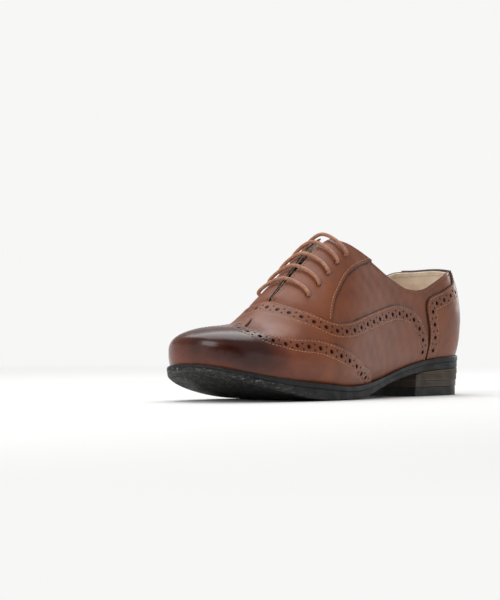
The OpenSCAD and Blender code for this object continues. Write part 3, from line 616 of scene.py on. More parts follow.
def punching(seam, side):
    """Big holes along a band beside the seam, with a pair of small ones between them."""
    line = beside(seam, side * PUNCH_LINE)
    s = arc_lengths(line)
    count = int((s[-1] / 2 - 3) / PUNCH_PITCH)
    holes = []
    for j in range(-2 * count, 2 * count + 1):
        u = s[-1] / 2 + j * PUNCH_PITCH / 2
        c = np.array([np.interp(u, s, line[:, k]) for k in range(3)])
        e = np.array([np.interp(u + 0.5, s, line[:, k]) for k in range(3)])
        low = share_of(place(c[None]))[0]
        if abs(low) > 0.955:
            continue
        if j % 2 == 0:
            holes.append((c, BIG_HOLE))
        else:
            w = np.cross(normals(c[None])[0], e - c)
            w /= np.linalg.norm(w)
            for k in (-1, 1):
                holes.append((pulled((c + k * PIN_SPREAD * w)[None])[0], PIN_HOLE))
    return [(pulled(c[None])[0], r) for c, r in holes]


# ---------------------------------------------------------------- materials
class Finish:
    """A node material, built with short calls."""

    def __init__(self, name):
        self.mat = bpy.data.materials.new(name)
        self.mat.use_nodes = True
        self.nodes = self.mat.node_tree.nodes
        self.links = self.mat.node_tree.links
        self.shader = self.nodes["Principled BSDF"]
        self.where = self.nodes.new("ShaderNodeTexCoord").outputs["Object"]

    def add(self, kind, settings=None, **inputs):
        node = self.nodes.new(kind)
        for key, value in (settings or {}).items():
            setattr(node, key, value)
        for key, value in inputs.items():
            self.feed(node.inputs[key.replace("_", " ")], value)
        return node

    def feed(self, socket, value):
        if isinstance(value, bpy.types.NodeSocket):
            self.links.new(value, socket)
        else:
            socket.default_value = value

    def scaled(self, size):
        return self.add("ShaderNodeMapping", Vector=self.where, Scale=size).outputs["Vector"]

    def noise(self, scale, detail=3.0, rough=0.5, vector=None):
        return self.add("ShaderNodeTexNoise", Vector=vector or self.where, Scale=scale, Detail=detail,
                        Roughness=rough).outputs["Fac"]

    def cells(self, scale, vector=None):
        return self.add("ShaderNodeTexVoronoi", Vector=vector or self.where, Scale=scale).outputs["Distance"]

    def field(self, name):
        return self.add("ShaderNodeAttribute", {"attribute_name": name}).outputs["Fac"]

    def span(self, value, a, b, c=0.0, d=1.0):
        node = self.add("ShaderNodeMapRange", {"interpolation_type": "SMOOTHSTEP"})
        for k, v in enumerate([value, a, b, c, d]):
            self.feed(node.inputs[k], v)
        return node.outputs["Result"]

    def sum(self, a, b, kind="ADD"):
        node = self.add("ShaderNodeMath", {"operation": kind})
        self.feed(node.inputs[0], a)
        self.feed(node.inputs[1], b)
        return node.outputs[0]

    def mix(self, share, a, b):
        node = self.add("ShaderNodeMix", {"data_type": "RGBA"})
        for k, v in ((0, share), (6, a), (7, b)):
            self.feed(node.inputs[k], v)
        return node.outputs[2]

    def bump(self, height, strength, distance, below=None):
        node = self.add("ShaderNodeBump", Height=height, Strength=strength, Distance=distance)
        if below is not None:
            self.links.new(below, node.inputs["Normal"])
        return node.outputs["Normal"]

    def finish(self, **inputs):
        for key, value in inputs.items():
            self.feed(self.shader.inputs[key.replace("_", " ")], value)
        return self.mat


def rgb(r, g, b):
    """An sRGB colour, 0 to 255, as the shader wants it."""
    return tuple((v / 12.92 if v <= 0.04045 else ((v + 0.055) / 1.055)**2.4)
                 for v in (r / 255, g / 255, b / 255)) + (1,)


def leather_finish(name, light, deep, warm, burnt, rough=0.4, coat=0.22):
    f = Finish(name)
    patch = f.noise(55, 3)
    cloud = f.noise(210, 4, 0.6)
    grain = f.cells(1500)
    pores = f.noise(3600, 2)
    colour = f.mix(f.span(patch, 0.25, 0.75), light, deep)
    colour = f.mix(f.span(cloud, 0.45, 0.75, 0, 0.15), colour, deep)
    burnish = f.sum(f.field("burnish"), f.span(patch, 0.2, 0.8, -0.12, 0.12))
    colour = f.mix(f.span(burnish, 0.05, 0.5, 0, 0.75), colour, warm)
    colour = f.mix(f.span(burnish, 0.25, 0.95, 0, 0.95), colour, burnt)
    colour = f.mix(f.span(f.field("rim"), 0.0, 0.75, 0.8, 0.0), colour, rgb(48, 27, 20))
    colour = f.mix(f.span(f.field("rim"), 1.0, 8.5, 0.2, 0.0), colour, deep)
    # painted shade: the shade field darkens the colour towards near black under overlapping pieces, round
    # punched holes and on undersides
    colour = f.mix(f.sum(f.field("shade"), 0.93, "MULTIPLY"), colour, rgb(20, 11, 9))
    normal = f.bump(f.sum(grain, pores, "ADD"), 0.16, 0.00012)
    normal = f.bump(cloud, 0.2, 0.0004, normal)
    uneven_shine = f.span(f.sum(cloud, burnish, "SUBTRACT"), -0.6, 0.9, rough - 0.1, rough + 0.1)
    return f.finish(Base_Color=colour, Roughness=uneven_shine, Specular_IOR_Level=0.3,
                    Coat_Weight=coat, Coat_Roughness=0.24, Coat_IOR=1.4, Normal=normal)


def thread_finish(name, light, deep):
    f = Finish(name)
    twist = f.noise(2600, 2)
    colour = f.mix(f.span(f.noise(500, 2), 0.35, 0.65), light, deep)
    return f.finish(Base_Color=colour, Roughness=0.62, Normal=f.bump(twist, 0.5, 0.00015),
                    Sheen_Weight=0.25)


def lining_finish(name, light, deep):
    f = Finish(name)
    cloud = f.noise(90, 4)
    pores = f.cells(1300)
    colour = f.mix(f.span(cloud, 0.35, 0.7), light, deep)
    colour = f.mix(f.span(pores, 0.0, 0.25, 0.22, 0.0), colour, deep)
    bumps = f.bump(f.sum(pores, f.noise(2400, 2)), 0.35, 0.0002)
    return f.finish(Base_Color=colour, Roughness=0.72, Normal=bumps, Sheen_Weight=0.1)


def rubber_finish(name, light, deep, scuff=0.0, rough=0.55, lines=False):
    f = Finish(name)
    cloud = f.noise(120, 4)
    speck = f.noise(1700, 3, 0.7)
    colour = f.mix(f.span(cloud, 0.3, 0.7), light, deep)
    colour = f.mix(f.span(speck, 0.6, 0.75, 0, 0.12), colour, rgb(120, 122, 120))
    if scuff:
        streak = f.noise(1.0, 6, 0.72, f.scaled((190, 500, 900)))
        fleck = f.sum(f.span(streak, 0.5, 0.64), f.span(f.noise(900, 4, 0.8), 0.46, 0.56), "MULTIPLY")
        worn = f.sum(fleck, f.field("wear"), "MULTIPLY")
        colour = f.mix(f.sum(worn, scuff, "MULTIPLY"), colour, rgb(168, 164, 154))
    if lines:
        fibre = f.noise(1.0, 4, 0.7, f.scaled((260, 260, 3200)))
        colour = f.mix(f.span(fibre, 0.45, 0.7, 0, 0.5), colour, rgb(92, 90, 86))
        colour = f.mix(f.span(f.field("rim"), 0.1, 1.0, 0.9, 0), colour, rgb(98, 76, 58))
    bumps = f.bump(speck, 0.2, 0.0002)
    return f.finish(Base_Color=colour, Roughness=f.span(cloud, 0.3, 0.7, rough - 0.06, rough + 0.1),
                    Specular_IOR_Level=0.3, Normal=f.bump(cloud, 0.12, 0.0005, bumps))


def plain_finish(name, light, deep, rough=0.6, metallic=0.0, scale=900):
    f = Finish(name)
    cloud = f.noise(scale, 4)
    return f.finish(Base_Color=f.mix(f.span(cloud, 0.35, 0.65), light, deep), Metallic=metallic,
                    Roughness=f.span(cloud, 0.3, 0.7, rough - 0.08, rough + 0.08),
                    Normal=f.bump(cloud, 0.25, 0.0002))


def weave_finish(name, light, deep):
    f = Finish(name)
    a = f.add("ShaderNodeTexWave", {"bands_direction": "X"}, Vector=f.where, Scale=700.0).outputs["Fac"]
    b = f.add("ShaderNodeTexWave", {"bands_direction": "Z"}, Vector=f.where, Scale=700.0).outputs["Fac"]
    weave = f.sum(a, b, "MULTIPLY")
    return f.finish(Base_Color=f.mix(weave, deep, light), Roughness=0.8, Normal=f.bump(weave, 0.5, 0.0002))


BROWN = leather_finish("upper_leather", rgb(126, 69, 40), rgb(110, 58, 34),
                       rgb(98, 46, 26), rgb(54, 22, 15))
TOE_BROWN = leather_finish("burnished_leather", rgb(130, 72, 44), rgb(110, 58, 35),
                           rgb(96, 40, 21), rgb(44, 15, 10), 0.3, 0.3)
TONGUE_BROWN = leather_finish("tongue_leather", rgb(120, 72, 48), rgb(96, 54, 36),
                              rgb(90, 44, 28), rgb(60, 28, 20), 0.5, 0.1)
THREAD = thread_finish("seam_thread", rgb(178, 122, 72), rgb(146, 94, 52))
DARK_THREAD = thread_finish("dark_thread", rgb(120, 70, 42), rgb(92, 52, 34))
BEIGE_THREAD = thread_finish("lining_thread", rgb(205, 188, 162), rgb(180, 160, 132))
LINING = lining_finish("lining_leather", rgb(226, 206, 184), rgb(208, 186, 162))
SOCK = lining_finish("sock_leather", rgb(206, 190, 166), rgb(186, 168, 142))
RAND = rubber_finish("rand_rubber", rgb(22, 24, 24), rgb(16, 18, 18), 0.35, 0.5)
SOLE_RUBBER = rubber_finish("sole_rubber", rgb(36, 38, 38), rgb(22, 24, 24), 0.7, 0.6)
LIFT = rubber_finish("lift_rubber", rgb(62, 59, 53), rgb(42, 41, 37), 0.0, 0.6, True)
TOP_PIECE = rubber_finish("top_piece_rubber", rgb(46, 47, 46), rgb(30, 31, 30), 0.2, 0.58)
LACE = thread_finish("lace_cord", rgb(168, 112, 82), rgb(140, 90, 64))
TIP = plain_finish("lace_tip_plastic", rgb(120, 76, 54), rgb(98, 60, 42), 0.25)
METAL = plain_finish("eyelet_metal", rgb(96, 84, 76), rgb(70, 60, 54), 0.4, 0.9)
STEEL = plain_finish("shank_steel", rgb(170, 172, 176), rgb(140, 142, 146), 0.38, 1.0)
NAIL = plain_finish("nail_steel", rgb(150, 150, 152), rgb(120, 120, 122), 0.42, 1.0)
CORK = plain_finish("cork_filler", rgb(176, 132, 88), rgb(120, 82, 50), 0.8, 0.0, 500)
BOARD = weave_finish("insole_fibreboard", rgb(190, 170, 138), rgb(160, 140, 110))
STIFF = weave_finish("stiffener_board", rgb(214, 206, 190), rgb(186, 176, 158))
BACKER = weave_finish("backer_cloth", rgb(150, 110, 86), rgb(110, 76, 58))

for node, finish in {"toe_puff": STIFF, "heel_stiffener": STIFF, "vamp_backer": BACKER, "shank": STEEL,
                     "insole_board": BOARD, "bottom_filler": CORK, "heel_nails": NAIL,
                     "eyelets_lateral": METAL, "eyelets_medial": METAL, "vamp_lining": LINING}.items():
    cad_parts[node].data.materials.clear()
    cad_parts[node].data.materials.append(finish)


# ---------------------------------------------------------------- the bottom's outline
HEEL_MARGIN = 1.4
TOE_MARGIN = 3.6
EDGE_STEP = 0.3
RAND_T = 3.8
RAND_SHARE = 0.42
GLUE = 0.25
LAYER_GAP = 0.1


def rand_margin(x):
    return HEEL_MARGIN + (TOE_MARGIN - HEEL_MARGIN) * smoothstep((x - 60) / 140)


def rand_low(x):
    return feather_z(x) - np.minimum(RAND_T, SOLE(x) * RAND_SHARE + 0.1)


def outsole_low(x):
    return np.maximum(0, feather_z(x) - SOLE(x))


def side_y(x, side, o):
    return CENTRE(x) + side * (np.where(side > 0, WIDE_L(x), WIDE_M(x)) + o) * feather_share(x)


def stations(x1=TOE_END):
    turn = np.sin(np.linspace(0, math.pi / 2, 26))
    heel = HEEL_X - (HEEL_X - HEEL_END) * turn[:0:-1]
    body = np.linspace(HEEL_X, min(x1, TOE_X), max(4, int((min(x1, TOE_X) - HEEL_X) / 2.5)))
    return np.concatenate([heel, body] + ([TOE_X + (TOE_END - TOE_X) * turn[1:]] if x1 > TOE_X else []))


def outline(xs, margin):
    """Closed plan outline and its outward directions; margin is a function of x."""
    m = margin(xs)
    gx = np.where(xs > TOE_X, xs + m * cap_share(xs), np.where(xs < HEEL_X, xs - m * cap_share(xs), xs))
    outer = np.stack([gx, side_y(xs, 1, m)], -1)
    inner = np.stack([gx, side_y(xs, -1, m)], -1)
    loop = np.vstack([outer, inner[::-1]])
    gap = np.roll(loop, -1, 0) - loop
    gap /= np.maximum(np.linalg.norm(gap, axis=1, keepdims=True), 1e-9)
    run = gap + np.roll(gap, 1, 0)
    run /= np.maximum(np.linalg.norm(run, axis=1, keepdims=True), 1e-9)
    return loop, np.stack([run[:, 1], -run[:, 0]], -1) * -1


def slab(name, margin, profile, material, replaces, x1=TOE_END, body="shoe", wear=None, levels=None):
    """A layer of the bottom: profile is [inset, height function] from its top middle to its underside."""
    xs = stations(x1)
    loop, out = outline(xs, margin)
    both = np.concatenate([xs, xs[::-1]])
    n, m = len(loop), len(profile)
    rings = [np.column_stack([loop - inset * out, z(both)]) for inset, z in profile]
    faces = [[i * n + k, i * n + (k + 1) % n, (i + 1) * n + (k + 1) % n, (i + 1) * n + k]
             for i in range(m - 1) for k in range(n)]
    half = n // 2
    for top, ring in ((True, 0), (False, m - 1)):
        for k in range(half - 1):
            quad = [ring * n + k, ring * n + n - 1 - k, ring * n + n - 2 - k, ring * n + k + 1]
            faces.append(quad if top else quad[::-1])
    points = np.vstack(rings)
    fields = {"wear": wear(points) if wear else np.zeros(len(points))}
    fields["rim"] = np.repeat(levels if levels is not None else np.full(m, 9.0), n)
    return mesh_object(name, points, faces, material, body, replaces, sharp=38, fields=fields)


def corner(z, r, top=True, steps=4):
    """A rounded edge of radius r at height z, as profile points."""
    a = np.linspace(0, math.pi / 2, steps + 1)
    sign = -1 if top else 1
    points = [(r * (1 - math.sin(t)), (lambda x, t=t: z(x) + sign * r * (1 - math.cos(t)))) for t in a]
    return points if top else points[::-1]


def toe_wear(points):
    """Scuffs: most under the toe, some along the edge near the floor."""
    x, z = points[:, 0], points[:, 2]
    low = 1 - smoothstep((z - outsole_low(np.clip(x, 0, LAST_LENGTH)) - 0.6) / 5)
    return np.clip(0.25 + 0.75 * smoothstep((x - 190) / 50), 0, 1) * (0.35 + 0.65 * low)


def rand_top(x):
    return feather_z(x) - GLUE


def build_bottom():
    slab("rand", rand_margin,
         [(9.0, rand_top), (2.6, rand_top)] + corner(rand_top, 0.55) +
         corner(rand_low, 0.35, False) + [(2.5, rand_low), (9.0, rand_low)],
         RAND, ["rand"], wear=lambda p: toe_wear(p) * 0.5)
    top = lambda x: rand_low(x) - LAYER_GAP
    slab("outsole", lambda x: rand_margin(x) - EDGE_STEP,
         [(9.0, top), (2.5, top)] + corner(top, 0.3) +
         corner(outsole_low, 1.1, False, 6) + [(3.5, outsole_low), (9.0, outsole_low)],
         SOLE_RUBBER, ["outsole"], wear=toe_wear)


HEEL_LENGTH = 66.0
LIFT_T = 4.1
TOP_PIECE_T = 6.3
HEEL_STEP = 0.45


def build_heel():
    z = TOP_PIECE_T + LAYER_GAP
    lifts = []
    for name, step in (("heel_lift_3", 2), ("heel_lift_2", 1)):
        lifts.append((name, step, z, z + LIFT_T))
        z += LIFT_T + LAYER_GAP
    for name, step, low, high in lifts:
        heel_layer(name, step, lambda x, v=low: v + 0 * x, lambda x, v=high: v + 0 * x, LIFT)
    heel_layer("heel_lift_1", 0, lambda x: z + 0 * x, lambda x: outsole_low(x) - LAYER_GAP,
               LIFT)
    heel_layer("top_piece", 3, lambda x: 0 * x, lambda x: TOP_PIECE_T + 0 * x, TOP_PIECE)


def heel_layer(name, step, low, high, material):
    """One layer of the heel: rounded edges all round, a flat breast at the front."""
    r = 0.3
    profile = [(6.0, high), (2.0, high)] + corner(high, r) + [(0.0, lambda x: high(x) - 0.8)] + \
              [(0.0, lambda x: low(x) + 0.8)] + corner(low, r, False) + [(2.0, low), (6.0, low)]
    rim = [0, 0] + [0, 0.03, 0.08, 0.15, 0.25] + [0.8, 0.8] + [0.25, 0.15, 0.08, 0.03, 0] + [0, 0]
    slab(name, lambda x: HEEL_MARGIN - EDGE_STEP - step * HEEL_STEP + 0 * x, profile, material, [name],
         x1=HEEL_LENGTH, wear=lambda p: 0.3 * np.ones(len(p)), levels=np.array(rim, float))


# ---------------------------------------------------------------- the upper
def feather(x0, x1, side, n=40):
    return grown(feather_run(x0, x1, side, n), 0)


def build_upper():
    wing = wall_loop(WING_EDGE)
    vamp = wall_loop(VAMP_EDGE)
    back_seam = seam_over_back()
    build_wingtip(wing)
    build_vamp(wing, vamp)
    build_counter(back_seam)
    for side, name in ((1, "lateral"), (-1, "medial")):
        build_quarter(side, name, vamp, back_seam)
        build_facing(side, name, vamp)


def topline(side):
    """The upper edge of the opening, from the middle of the back to the facing."""
    wall = grown(on(np.array(TOPLINE)[:, 0], side * np.array(TOPLINE)[:, 1]), 0)
    back = grown(back_line([TOP_BACK_SHARE]), 0)
    curve = smooth(np.vstack([wall[1::-1] * [1, -1, 1], back, wall]), 12)
    return pulled(curve[24:])


def counter_edge(side):
    """The edge of the counter cover on one side, from the feather to the topline."""
    return wall_curve(COUNTER_EDGE, side)


def seam_over_back():
    """The counter's edge on both sides, joined along the topline over the back."""
    parts = []
    for side in (1, -1):
        edge, top = counter_edge(side), topline(side)
        i = nearest(top, edge[-1:])[1][0]
        parts.append(np.vstack([edge[:-1], top[i::-1]]))
    return np.vstack([parts[0], parts[1][::-1][1:]])


def build_wingtip(wing):
    x0 = WING_EDGE[0][0]
    low = [feather(x0, TOE_END, -1), feather(x0, TOE_END, 1)[::-1]]
    low[0][0] = wing[-1]
    low[1][-1] = wing[0]
    lines = [beside(wing, d) for d in (1.4, 9.45)]
    leather_piece("wingtip", [wing] + low, TOE, 0.25, 1.35, TOE_BROWN, ["wingtip"],
                  holes=punching(wing, 1), lines=lines, rings=BAND_RINGS)
    stitches("wingtip_stitches", lines, 1.32, THREAD)


VAMP_FRONT = [[140, 1.02], [150, 0.86], [164, 0.79], [182, 0.72], [198, 0.66], [212, 0.58], [224, 0.47],
              [231, 0.33], [233, 0.16], [233, 0]]


def build_vamp(wing, vamp):
    front = wall_loop(VAMP_FRONT)
    ends = (VAMP_EDGE[0][0], VAMP_FRONT[0][0])
    low = [feather(*ends, -1), feather(*ends, 1)[::-1]]
    low[0][0], low[0][-1] = vamp[-1], front[-1]
    low[1][-1], low[1][0] = vamp[0], front[0]
    lines = [beside(vamp, d) for d in (1.4, 9.45)]
    leather_piece("vamp", [vamp, low[0], front[::-1], low[1]], SIDE, -1.1, 0.0, BROWN,
                  ["vamp"], holes=punching(vamp, 1), lines=lines, rings=BAND_RINGS, under=[(wing, 1)])
    stitches("vamp_stitches", lines, -0.03, THREAD)


def shown(line, seam, side, margin):
    """The stretches of a line that lie more than margin outside the piece behind seam."""
    clear = covered_by(place(line), seam) * side < -margin
    cuts = np.flatnonzero(np.diff(clear.astype(int))) + 1
    return [part for part, ok in zip(np.split(line, cuts), np.split(clear, cuts)) if ok[0] and len(part) > 5]


def build_counter(seam):
    x0 = COUNTER_EDGE[0][0]
    low = [feather(HEEL_END, x0, -1)[::-1], feather(HEEL_END, x0, 1)]
    low[0][0], low[1][-1] = seam[-1], seam[0]
    lines = [beside(counter_edge(s)[:-6], -s * d) for s in (1, -1) for d in (1.4, 9.45)]
    holes = punching(counter_edge(1)[:-6], -1) + punching(counter_edge(-1)[:-6], 1)
    leather_piece("heel_counter_cover", [seam] + low, BACK, -1.1, 0.0, BROWN,
                  ["heel_counter_cover"], holes=holes, lines=lines, rings=BAND_RINGS)
    stitches("counter_stitches", lines, -0.03, THREAD)
    over = pulled(np.vstack([topline(1)[24::-1], topline(-1)[1:25]]))
    stitches("counter_top_stitches", [beside(over, -2.6)], 0.08, DARK_THREAD, 1.7, 2.2)


QUARTER_UNDER_VAMP = [[62.5, 1.01], [62.4, 0.91], [65, 0.83], [70, 0.76], [77, 0.72], [88, 0.695],
                      [107.8, 0.67], [131.3, 0.66], [151.3, 0.645], [168, 0.61], [175, 0.57]]
QUARTER_FRONT = [[175, 0.57], [171.5, 0.5], [167, 0.42], [160, 0.35], [151, 0.32], [142, 0.295],
                 [130.8, 0.285], [117, 0.28], [106.6, 0.335]]


def build_quarter(side, name, vamp, back_seam):
    top = topline(side)
    front = wall_curve(QUARTER_FRONT, side)
    below = wall_curve(QUARTER_UNDER_VAMP, side)
    back = grown(back_line(np.linspace(TOP_BACK_SHARE, -TUCK * LEVEL(0.0), 60)), 0)
    low = feather(HEEL_END, QUARTER_UNDER_VAMP[0][0], side)
    back[0], top[-1] = top[0], front[-1]
    back[-1], low[-1], front[0] = low[0], below[0], below[-1]
    rear = wall_curve(FACING_REAR, side)
    lines = [beside(top, side * 2.6)]
    leather_piece("quarter_" + name, [top, front[::-1], below[::-1], low[::-1], back[::-1]],
                  BACK, -2.45, -1.35, BROWN, ["quarter_" + name], lines=lines,
                  under=[(vamp, 1), (back_seam, -1), (rear, -side)])
    stitches("topline_stitches_" + name, shown(lines[0], back_seam, -1, 1.0), -1.38, DARK_THREAD,
             1.7, 2.2)


FACING_FOOT = [[171.5, 0.55], [178, 0.52], [184.5, 0.46], [190, 0.32], [193, 0.15], [193, 0.075]]


def gap_curve(side, x0=193.0, x1=FACING_TOP[-1][0]):
    x = np.linspace(x0, x1, 40)
    half = GAP_FOOT + (FACING_GAP - GAP_FOOT) * (THROAT_X - x) / (THROAT_X - FACING_TOP[-1][0])
    return skin(np.stack([x, side * np.maximum(half, 0.6) / WIDE_L(x), 1 + 0 * x], -1), 0)


def build_facing(side, name, vamp):
    gap = gap_curve(side)
    top = wall_curve(FACING_TOP, side)
    rear = wall_curve(FACING_REAR, side)
    foot = wall_curve(FACING_FOOT, side)
    foot[0], foot[-1], top[-1], rear[0] = rear[-1], gap[0], gap[-1], top[0]
    rows = shown(beside(rear, -side * 1.9)[3:], vamp, 1, 1.0)
    edge = [part for line in (beside(top, side * 2.4), beside(gap[:-2], -side * 2.2))
            for part in shown(line, vamp, 1, 1.0)]
    holes = [(grown(eyelet_place(i, side)[None], 0)[0], EYELET_R) for i in range(EYELET_COUNT)]
    leather_piece("facing_" + name, [gap, top[::-1], rear, foot], SIDE, -1.1, 0.0, BROWN,
                  ["facing_" + name], holes=holes, lines=rows + edge, spacing=1.6,
                  under=[(vamp, 1)], sink=lambda c: -1.2 * smoothstep((covered_by(c, vamp) + 5) / 6))
    stitches("facing_stitches_" + name, rows, -0.03, THREAD)
    stitches("facing_edge_stitches_" + name, edge, -0.03, DARK_THREAD, 1.7, 2.2)


# ---------------------------------------------------------------- linings, tongue and sock
def grid_sheet(name, rows, inner, outer, material, replaces, body="shoe", rim_round=0.35):
    """A sheet over rows of places, closed and rounded at its edges."""
    nj, ni = rows.shape[:2]
    p0 = grown(rows, 0)
    along = np.zeros((nj, ni))
    along[1:] = np.cumsum(np.linalg.norm(np.diff(p0, axis=0), axis=2), 0)
    across = np.zeros((nj, ni))
    across[:, 1:] = np.cumsum(np.linalg.norm(np.diff(p0, axis=1), axis=2), 1)
    edge = np.minimum(np.minimum(along, along[-1] - along), np.minimum(across, across[:, -1:] - across))
    k = np.clip(1 - edge / rim_round, 0, 1)
    drop = rim_round * (1 - np.sqrt(1 - 0.98 * k * k))
    top = grown(rows, outer - drop)
    low = grown(rows, inner + drop * 0.6)
    n = nj * ni
    at = lambda j, i: j * ni + i
    faces = []
    for j in range(nj - 1):
        for i in range(ni - 1):
            a, b, c, d = at(j, i), at(j, i + 1), at(j + 1, i + 1), at(j + 1, i)
            faces += [[a, b, c, d], [a + n, d + n, c + n, b + n]]
    rim = [at(0, i) for i in range(ni - 1)] + [at(j, ni - 1) for j in range(nj - 1)] + \
          [at(nj - 1, i) for i in range(ni - 1, 0, -1)] + [at(j, 0) for j in range(nj - 1, 0, -1)]
    for a, b in zip(rim, rim[1:] + rim[:1]):
        faces.append([b, a, a + n, b + n])
    points = np.vstack([top.reshape(-1, 3), low.reshape(-1, 3)])
    first = np.cross(points[at(1, 1)] - points[at(1, 2)], points[at(2, 2)] - points[at(1, 2)])
    if first @ normals(points[at(1, 2)][None])[0] > 0:
        faces = [f[::-1] for f in faces]
    d = np.concatenate([edge.ravel(), edge.ravel()])
    fields = {"rim": np.minimum(d + 1.0, 9), "burnish": np.zeros(2 * n), "shade": np.zeros(2 * n)}
    return mesh_object(name, points, faces, material, body, replaces, fields=fields)


LINING_OUT = -4.05
LINING_T = 0.8


def rows_between(low, high, nj, bias=1.0):
    """Rows of places from one curve of places to another."""
    u = np.linspace(0, 1, nj)[:, None, None]**bias
    fine = settle(low[None] * (1 - u) + high[None] * u)
    p = grown(fine, 0)
    s = np.zeros((nj, low.shape[0]))
    s[1:] = np.cumsum(np.linalg.norm(np.diff(p, axis=0), axis=2), 0)
    out = np.zeros_like(fine)
    for i in range(low.shape[0]):
        want = np.linspace(0, s[-1, i], nj)
        for k in range(3):
            out[:, i, k] = np.interp(want, s[:, i], fine[:, i, k])
    return settle(out)


def spread(curve, n):
    s = arc_lengths(curve)
    u = np.linspace(0, s[-1], n)
    return place(np.stack([np.interp(u, s, curve[:, k]) for k in range(3)], -1))


def build_linings():
    for side, name in ((1, "lateral"), (-1, "medial")):
        top = np.vstack([topline(side),
                         wall_curve(FACING_TOP, side)[1:-1], gap_curve(side, 184.0)[::-1]])
        low = np.vstack([feather(HEEL_END, 124, side), wall_curve([[126, 0.93], [131, 0.72], [142, 0.6],
                         [160, 0.48], [176, 0.33], [184, 0.09]], side)[1:]])
        rows = rows_between(spread(low, 150), spread(top, 150), 60)
        p = grown(rows, 0)
        edge = nearest(even(top, 0.8), p.reshape(-1, 3))[0].reshape(p.shape[:2])
        x = rows[..., 0]
        target = -2.5 + 1.25 * smoothstep((x - 103) / 8)
        lift = 1 - smoothstep((edge - 0.5) / 8)
        outer = LINING_OUT + (target - LINING_OUT) * lift
        inner = outer - LINING_T - 0.35 * lift * (1 - smoothstep((x - 103) / 8))
        grid_sheet("quarter_lining_" + name, rows, inner, outer, LINING,
                   ["quarter_lining_" + name])
        stitches("lining_stitches_" + name, [beside(topline(side), side * 2.6)], -3.85, BEIGE_THREAD,
                 1.7, 2.2)


TONGUE_BASE = 186.0
TONGUE_LENGTH = 64.0
TONGUE_SHARE = 0.28
TONGUE_SEAT = -5.6
TONGUE_OUT = -9.5


def build_tongue():
    x0, x1 = TONGUE_BASE - TONGUE_LENGTH, TONGUE_BASE
    x = np.linspace(x0, x1, 60)
    half = TONGUE_SHARE * (0.78 + 0.22 * (x1 - x) / TONGUE_LENGTH) - 0.05 * np.maximum(0, 1 - (x - x0) / 8)**2
    u = np.linspace(-1, 1, 37)
    rows = on(x[:, None], half[:, None] * u[None])
    k = smoothstep((x1 - x) / 9)[:, None]
    level = TONGUE_SEAT + (TONGUE_OUT - TONGUE_SEAT) * k + 0 * u
    grid_sheet("tongue", rows, level - 1.2, level, TONGUE_BROWN, ["tongue"], body="tongue")
    share = half - 0.035
    rim = [on(x[4:-14], share[4:-14]), on(0 * u + x[4], u * share[4])[::-1], on(x[4:-14], -share[4:-14])]
    stitches("tongue_stitches", [grown(line, 0) for line in rim], TONGUE_OUT + 0.08, DARK_THREAD,
             1.7, 2.2, body="tongue")
    grid_sheet("tongue_lining", rows, level - 2.25, level - 1.45, LINING, ["tongue_lining"],
               body="tongue")


def build_sock():
    low = lambda x: feather_z(x) + 4.4
    high = lambda x: feather_z(x) + 6.2
    slab("sock", lambda x: -5.5 + 0 * x, [(5.0, high)] + corner(high, 0.7) +
         corner(low, 0.2, False) + [(5.0, low)], SOCK, ["sock"])


# ---------------------------------------------------------------- lacing, along the route of the CAD source
EYELET_COUNT = 5
EYELET_PITCH = 10.3
FIRST_EYELET_X = 173.7
EYELET_SHARE = 0.25
EYELET_R = 1.65
LACE_R = 1.25
QUARTER_LINING_IN = -4.85
LACE_UNDER = QUARTER_LINING_IN - 0.6 - 0.5 - 0.35 - LACE_R
LACE_OVER = LACE_R + 0.9
TAIL_OFFSET = QUARTER_LINING_IN - LACE_R - 0.5
FIRST_TAIL = [[88, 0.82], [97, 0.83], [107, 0.83], [118, 0.83], [129, 0.83], [140, 0.82], [149, 0.78],
              [157, 0.70], [163, 0.6], [168, 0.49], [171.5, 0.38]]
LAST_TAIL = [[128, -0.36], [122, -0.46], [115, -0.56], [108, -0.66], [101, -0.75], [93, -0.81],
             [84, -0.83], [74, -0.83], [64, -0.82], [54, -0.81]]


def eyelet_place(i, side):
    return on(FIRST_EYELET_X - i * EYELET_PITCH, side * EYELET_SHARE)


def eyelet_point(i, side, o):
    c = eyelet_place(i, side)
    p = skin(c, 0.0)
    n = normals(p[None])[0]
    return p + n * o * ((skin(c, 1.0) - p) @ n)


def lace_route():
    points = [skin(on(x, t), TAIL_OFFSET) for x, t in FIRST_TAIL]
    for i in range(EYELET_COUNT):
        s = 1 if i % 2 == 0 else -1
        x, e = FIRST_EYELET_X - i * EYELET_PITCH, EYELET_SHARE
        points += [eyelet_point(i, s, LACE_UNDER), eyelet_point(i, s, -1.1),
                   eyelet_point(i, s, LACE_OVER - 0.4),
                   skin(on(x, s * e * 0.68), LACE_OVER + 0.3), skin(on(x, 0), LACE_OVER + 0.9),
                   skin(on(x, -s * e * 0.68), LACE_OVER + 0.3), eyelet_point(i, -s, LACE_OVER - 0.4),
                   eyelet_point(i, -s, -1.1), eyelet_point(i, -s, LACE_UNDER)]
        if i < EYELET_COUNT - 1:
            points.append(skin(on(x - EYELET_PITCH / 2, -s * e), LACE_UNDER))
    last_side = 1 if (EYELET_COUNT - 1) % 2 == 0 else -1
    points += [skin(on(x, t * last_side), TAIL_OFFSET) for x, t in LAST_TAIL]
    return np.array(points)


